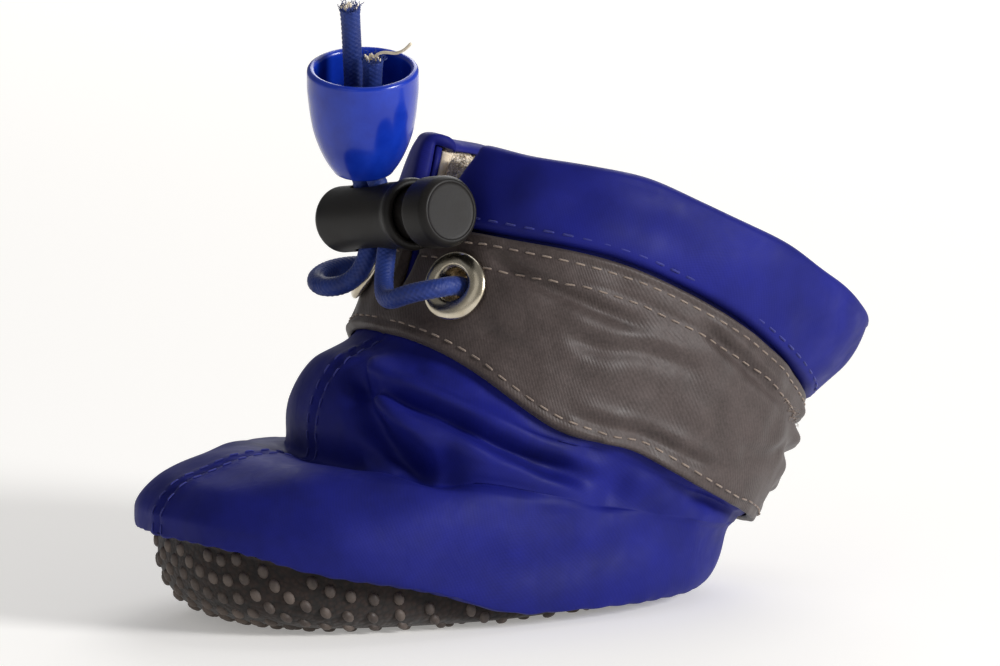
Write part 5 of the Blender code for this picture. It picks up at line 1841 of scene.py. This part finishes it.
@dataclass
class DrawCord:
    """One strand of the elastic cord, from its eyelet through the lock and the bell to its cut end."""

    form: Form
    side: Side
    lock: LockPlace
    bell: BellPlace
    strands: int = 8
    pitch: float = 5.2 * MM
    sides: int = 48

    def path(self, spacing: float) -> Array:
        """The strand's route, as in the solids."""
        t0, a0 = np.array(EYELET_RING), np.array(self.form.eyelet_angle(self.side))
        out, level = self.form.outward(t0, a0), unit(self.form.tangents(t0, a0)[0])
        frames = {"eyelet": (self.form.surface(t0, a0), out, level, np.cross(out, level)),
                  "lock": (self.lock.mouth, self.lock.across, self.lock.axis, self.lock.along),
                  "bell": (self.bell.neck, self.bell.front, self.bell.up, self.bell.across)}
        points = []
        for frame, *steps in NEAR_ROUTE if self.side is Side.NEAR else FAR_ROUTE:
            centre, *axes = frames[frame]
            points.append(centre + sum(axis * step for axis, step in zip(axes, steps)))
        return pulled_path(np.array(points), spacing)

    def build(self) -> list[bpy.types.Object]:
        """The sheath's radius is that of two sets of helical strands that pass over and under each
        other: r * (1 + 0.05 * max(|sin| of each set's phase, weighted by their crossing)).
        """
        name = self.side.name.lower()
        path = self.path(0.13 * MM)
        run = np.arange(len(path)) * np.linalg.norm(path[1] - path[0])
        v = np.linspace(0, 2 * pi, self.sides + 1)
        left = self.strands / 2 * (v[None] + 2 * pi * run[:, None] / self.pitch)
        right = self.strands / 2 * (v[None] - 2 * pi * run[:, None] / self.pitch)
        over = 0.5 + 0.5 * np.tanh(3 * np.sin(left) * np.sin(right))
        braid = over * np.abs(np.sin(left)) ** 0.6 + (1 - over) * np.abs(np.sin(right)) ** 0.6
        end = run[-1] - run[:, None]
        frayed = 1 + 0.07 * np.exp(-end / (0.9 * MM)) * (1 + np.sin(7 * v)[None])
        radius = CORD_DIAMETER / 2 * (0.87 + 0.13 * braid) * frayed
        skin = Skin("draw_cord_" + name)
        tube(skin, path, radius, self.sides)
        cord = settle(skin.build(BRAID), Body.SHOE, "blue_cord", "cord_" + name)
        core, fray = self.build_core(path, name), self.build_fray(path, name)
        return [cord, core, fray]

    @staticmethod
    def cut_frame(path: Array) -> tuple[Array, Array, Array]:
        """The direction of the cord's cut end and two directions across it."""
        way = unit(path[-1] - path[-8])
        helper = unit(np.cross(way, np.array([0.3, 0.5, 0.8])))
        return way, helper, np.cross(way, helper)

    def build_fray(self, path: Array, name: str) -> bpy.types.Object:
        """The sheath's loose fibres round its cut end."""
        rng = np.random.default_rng(83 if self.side is Side.NEAR else 84)
        way, helper, other = self.cut_frame(path)
        turn = rng.uniform(0, 2 * pi, 56)[:, None]
        radial = helper * np.cos(turn) + other * np.sin(turn)
        skin = Skin("cord_fray_" + name)
        curls = FleeceCurls((0.7 * MM, 2.3 * MM), (0.05 * MM, 0.25 * MM), 0.085 * MM, seed=85)
        roots = path[-1] - way * 0.5 * MM + radial * 0.44 * CORD_DIAMETER
        curls.lay(skin, roots, unit(way + radial * rng.uniform(0.0, 0.45, (56, 1))))
        return settle(skin.build(BRAID), Body.SHOE, "blue_cord")

    def build_core(self, path: Array, name: str) -> bpy.types.Object:
        """The off-white rubber filaments that stand a little out of the cut sheath."""
        rng = np.random.default_rng(81 if self.side is Side.NEAR else 82)
        way, helper, other = self.cut_frame(path)
        skin = Skin("cord_core_" + name)
        for k in range(16):
            turn, out = rng.uniform(0, 2 * pi), 0.88 * MM * np.sqrt(rng.random())
            tall, splay = rng.uniform(0.25, 0.95) * MM, rng.uniform(0.1, 0.5)
            radial = helper * cos(turn) + other * sin(turn)
            s = np.linspace(0, 1, 6)[:, None]
            line = (path[-1] - way * 0.6 * MM + radial * out * (1 + splay * s ** 2)
                    + way * (0.6 * MM + tall) * s)
            tube(skin, line, np.array([1.0, 1.0, 1.0, 1.0, 0.92, 0.6]) * 0.17 * MM, 7)
        if self.side is Side.NEAR:
            pulls = np.array(((0.0, 0.0, 0.0), (0.2, 0.6, 1.0), (0.6, 1.8, 1.6), (1.2, 3.2, 1.5),
                              (1.6, 4.6, 2.4), (1.8, 5.6, 3.6))) * MM
            line = path[-1] + pulls @ np.stack([self.bell.front, self.bell.across, self.bell.up])
            line = pulled_path(line, 0.25 * MM)
            tube(skin, line, np.full(len(line), 0.21 * MM), 8)
        return settle(skin.build(RUBBER_CORE), Body.SHOE, "blue_cord")


# The studio


@dataclass
class Studio:
    """White paper, soft boxes and the camera at the photograph's angle."""

    aim: tuple[float, float, float] = (-2.07 * MM, -1.71 * MM, 35.94 * MM)
    back: tuple[float, float, float] = (-0.495, -0.858, 0.139)
    distance: float = 1.0
    lens: float = 270.3

    def stand(self, name: str, data: bpy.types.ID, place: Array) -> bpy.types.Object:
        """Put a camera or a light at a place, level and turned towards the aim point."""
        obj = bpy.data.objects.new(name, data)
        bpy.context.scene.collection.objects.link(obj)
        out = unit(place - np.array(self.aim))
        right = unit(np.cross([0.0, 0.0, 1.0], out))
        matrix = np.eye(4)
        matrix[:3] = np.stack([right, np.cross(out, right), out, place], -1)
        obj.matrix_world = Matrix(matrix.tolist())
        return obj

    def build_camera(self) -> None:
        """Stand the camera back from the aim point."""
        data = bpy.data.cameras.new("camera")
        data.lens = self.lens
        data.sensor_width = 36.0
        data.clip_start, data.clip_end = 0.01, 20.0
        place = np.array(self.aim) + unit(np.array(self.back)) * self.distance
        bpy.context.scene.camera = self.stand("camera", data, place)

    def build_lights(self) -> None:
        """A key box on the camera's right, a broad fill on its left, a top box and a rim box."""
        boxes = (("key_box", (0.66, -1.10, 0.50), 0.40, 17.0), ("fill_box", (-1.15, -0.65, 0.60), 0.9, 1.2),
                 ("top_box", (0.65, 0.25, 1.30), 0.9, 3.0), ("rim_box", (0.75, 0.95, 0.75), 0.7, 5.0))
        for name, place, size, power in boxes:
            data = bpy.data.lights.new(name, "AREA")
            data.shape = "SQUARE"
            data.size = size
            data.energy = power
            self.stand(name, data, np.array(place))
        world = bpy.data.worlds.new("studio")
        world.use_nodes = True
        set_inputs(world.node_tree.nodes["Background"], {"Color": (1.0, 1.0, 1.0, 1.0), "Strength": 0.22})
        bpy.context.scene.world = world
        bpy.context.scene.view_settings.view_transform = "Standard"

    def build_floor(self) -> None:
        """A wide disc of paper: radius times the share out from the middle, level with nothing."""
        share = np.linspace(0, 1, 6)[:, None, None]
        v = np.linspace(0, 2 * pi, 65)[None, :, None]
        grid = np.concatenate([5.0 * share * np.cos(v), 5.0 * share * np.sin(v), 0.0 * share * v], -1)
        skin = Skin("paper_floor")
        skin.lay(grid, wrap=6, start_pole=True)
        skin.build(StudioFloor("background_paper"))


def report_pieces(title: str, pieces: Sequence[bpy.types.Object]) -> None:
    """Report a finished sub-assembly."""
    LOG.info("%s: %s", title, ", ".join(piece.name for piece in pieces))


def main() -> None:
    """Build the studio, the cords, the soft pieces and the fittings, in that order."""
    logging.basicConfig(level=logging.INFO, format="%(message)s")
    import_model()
    form = Form()
    lock = LockPlace(form)
    bell = BellPlace(lock)
    studio = Studio()
    studio.build_camera()
    for side in Side:
        report_pieces("cord " + side.name.lower(), DrawCord(form, side, lock, bell).build())
    sole = Outsole(form)
    for title, maker in (("upper", FootUpper(form)), ("lining", Lining(form)), ("band", ReflectiveBand(form)),
                         ("cuff", Cuff(form)), ("tongue", Tongue(form)), ("outsole", sole),
                         ("insole", Insole(form, sole)), ("near eyelet", Eyelet(form, Side.NEAR)),
                         ("far eyelet", Eyelet(form, Side.FAR)), ("cord lock", CordLock(lock)),
                         ("bell", CordBell(bell))):
        report_pieces(title, maker.build())
    studio.build_lights()
    studio.build_floor()


if __name__ == "__main__":
    main()
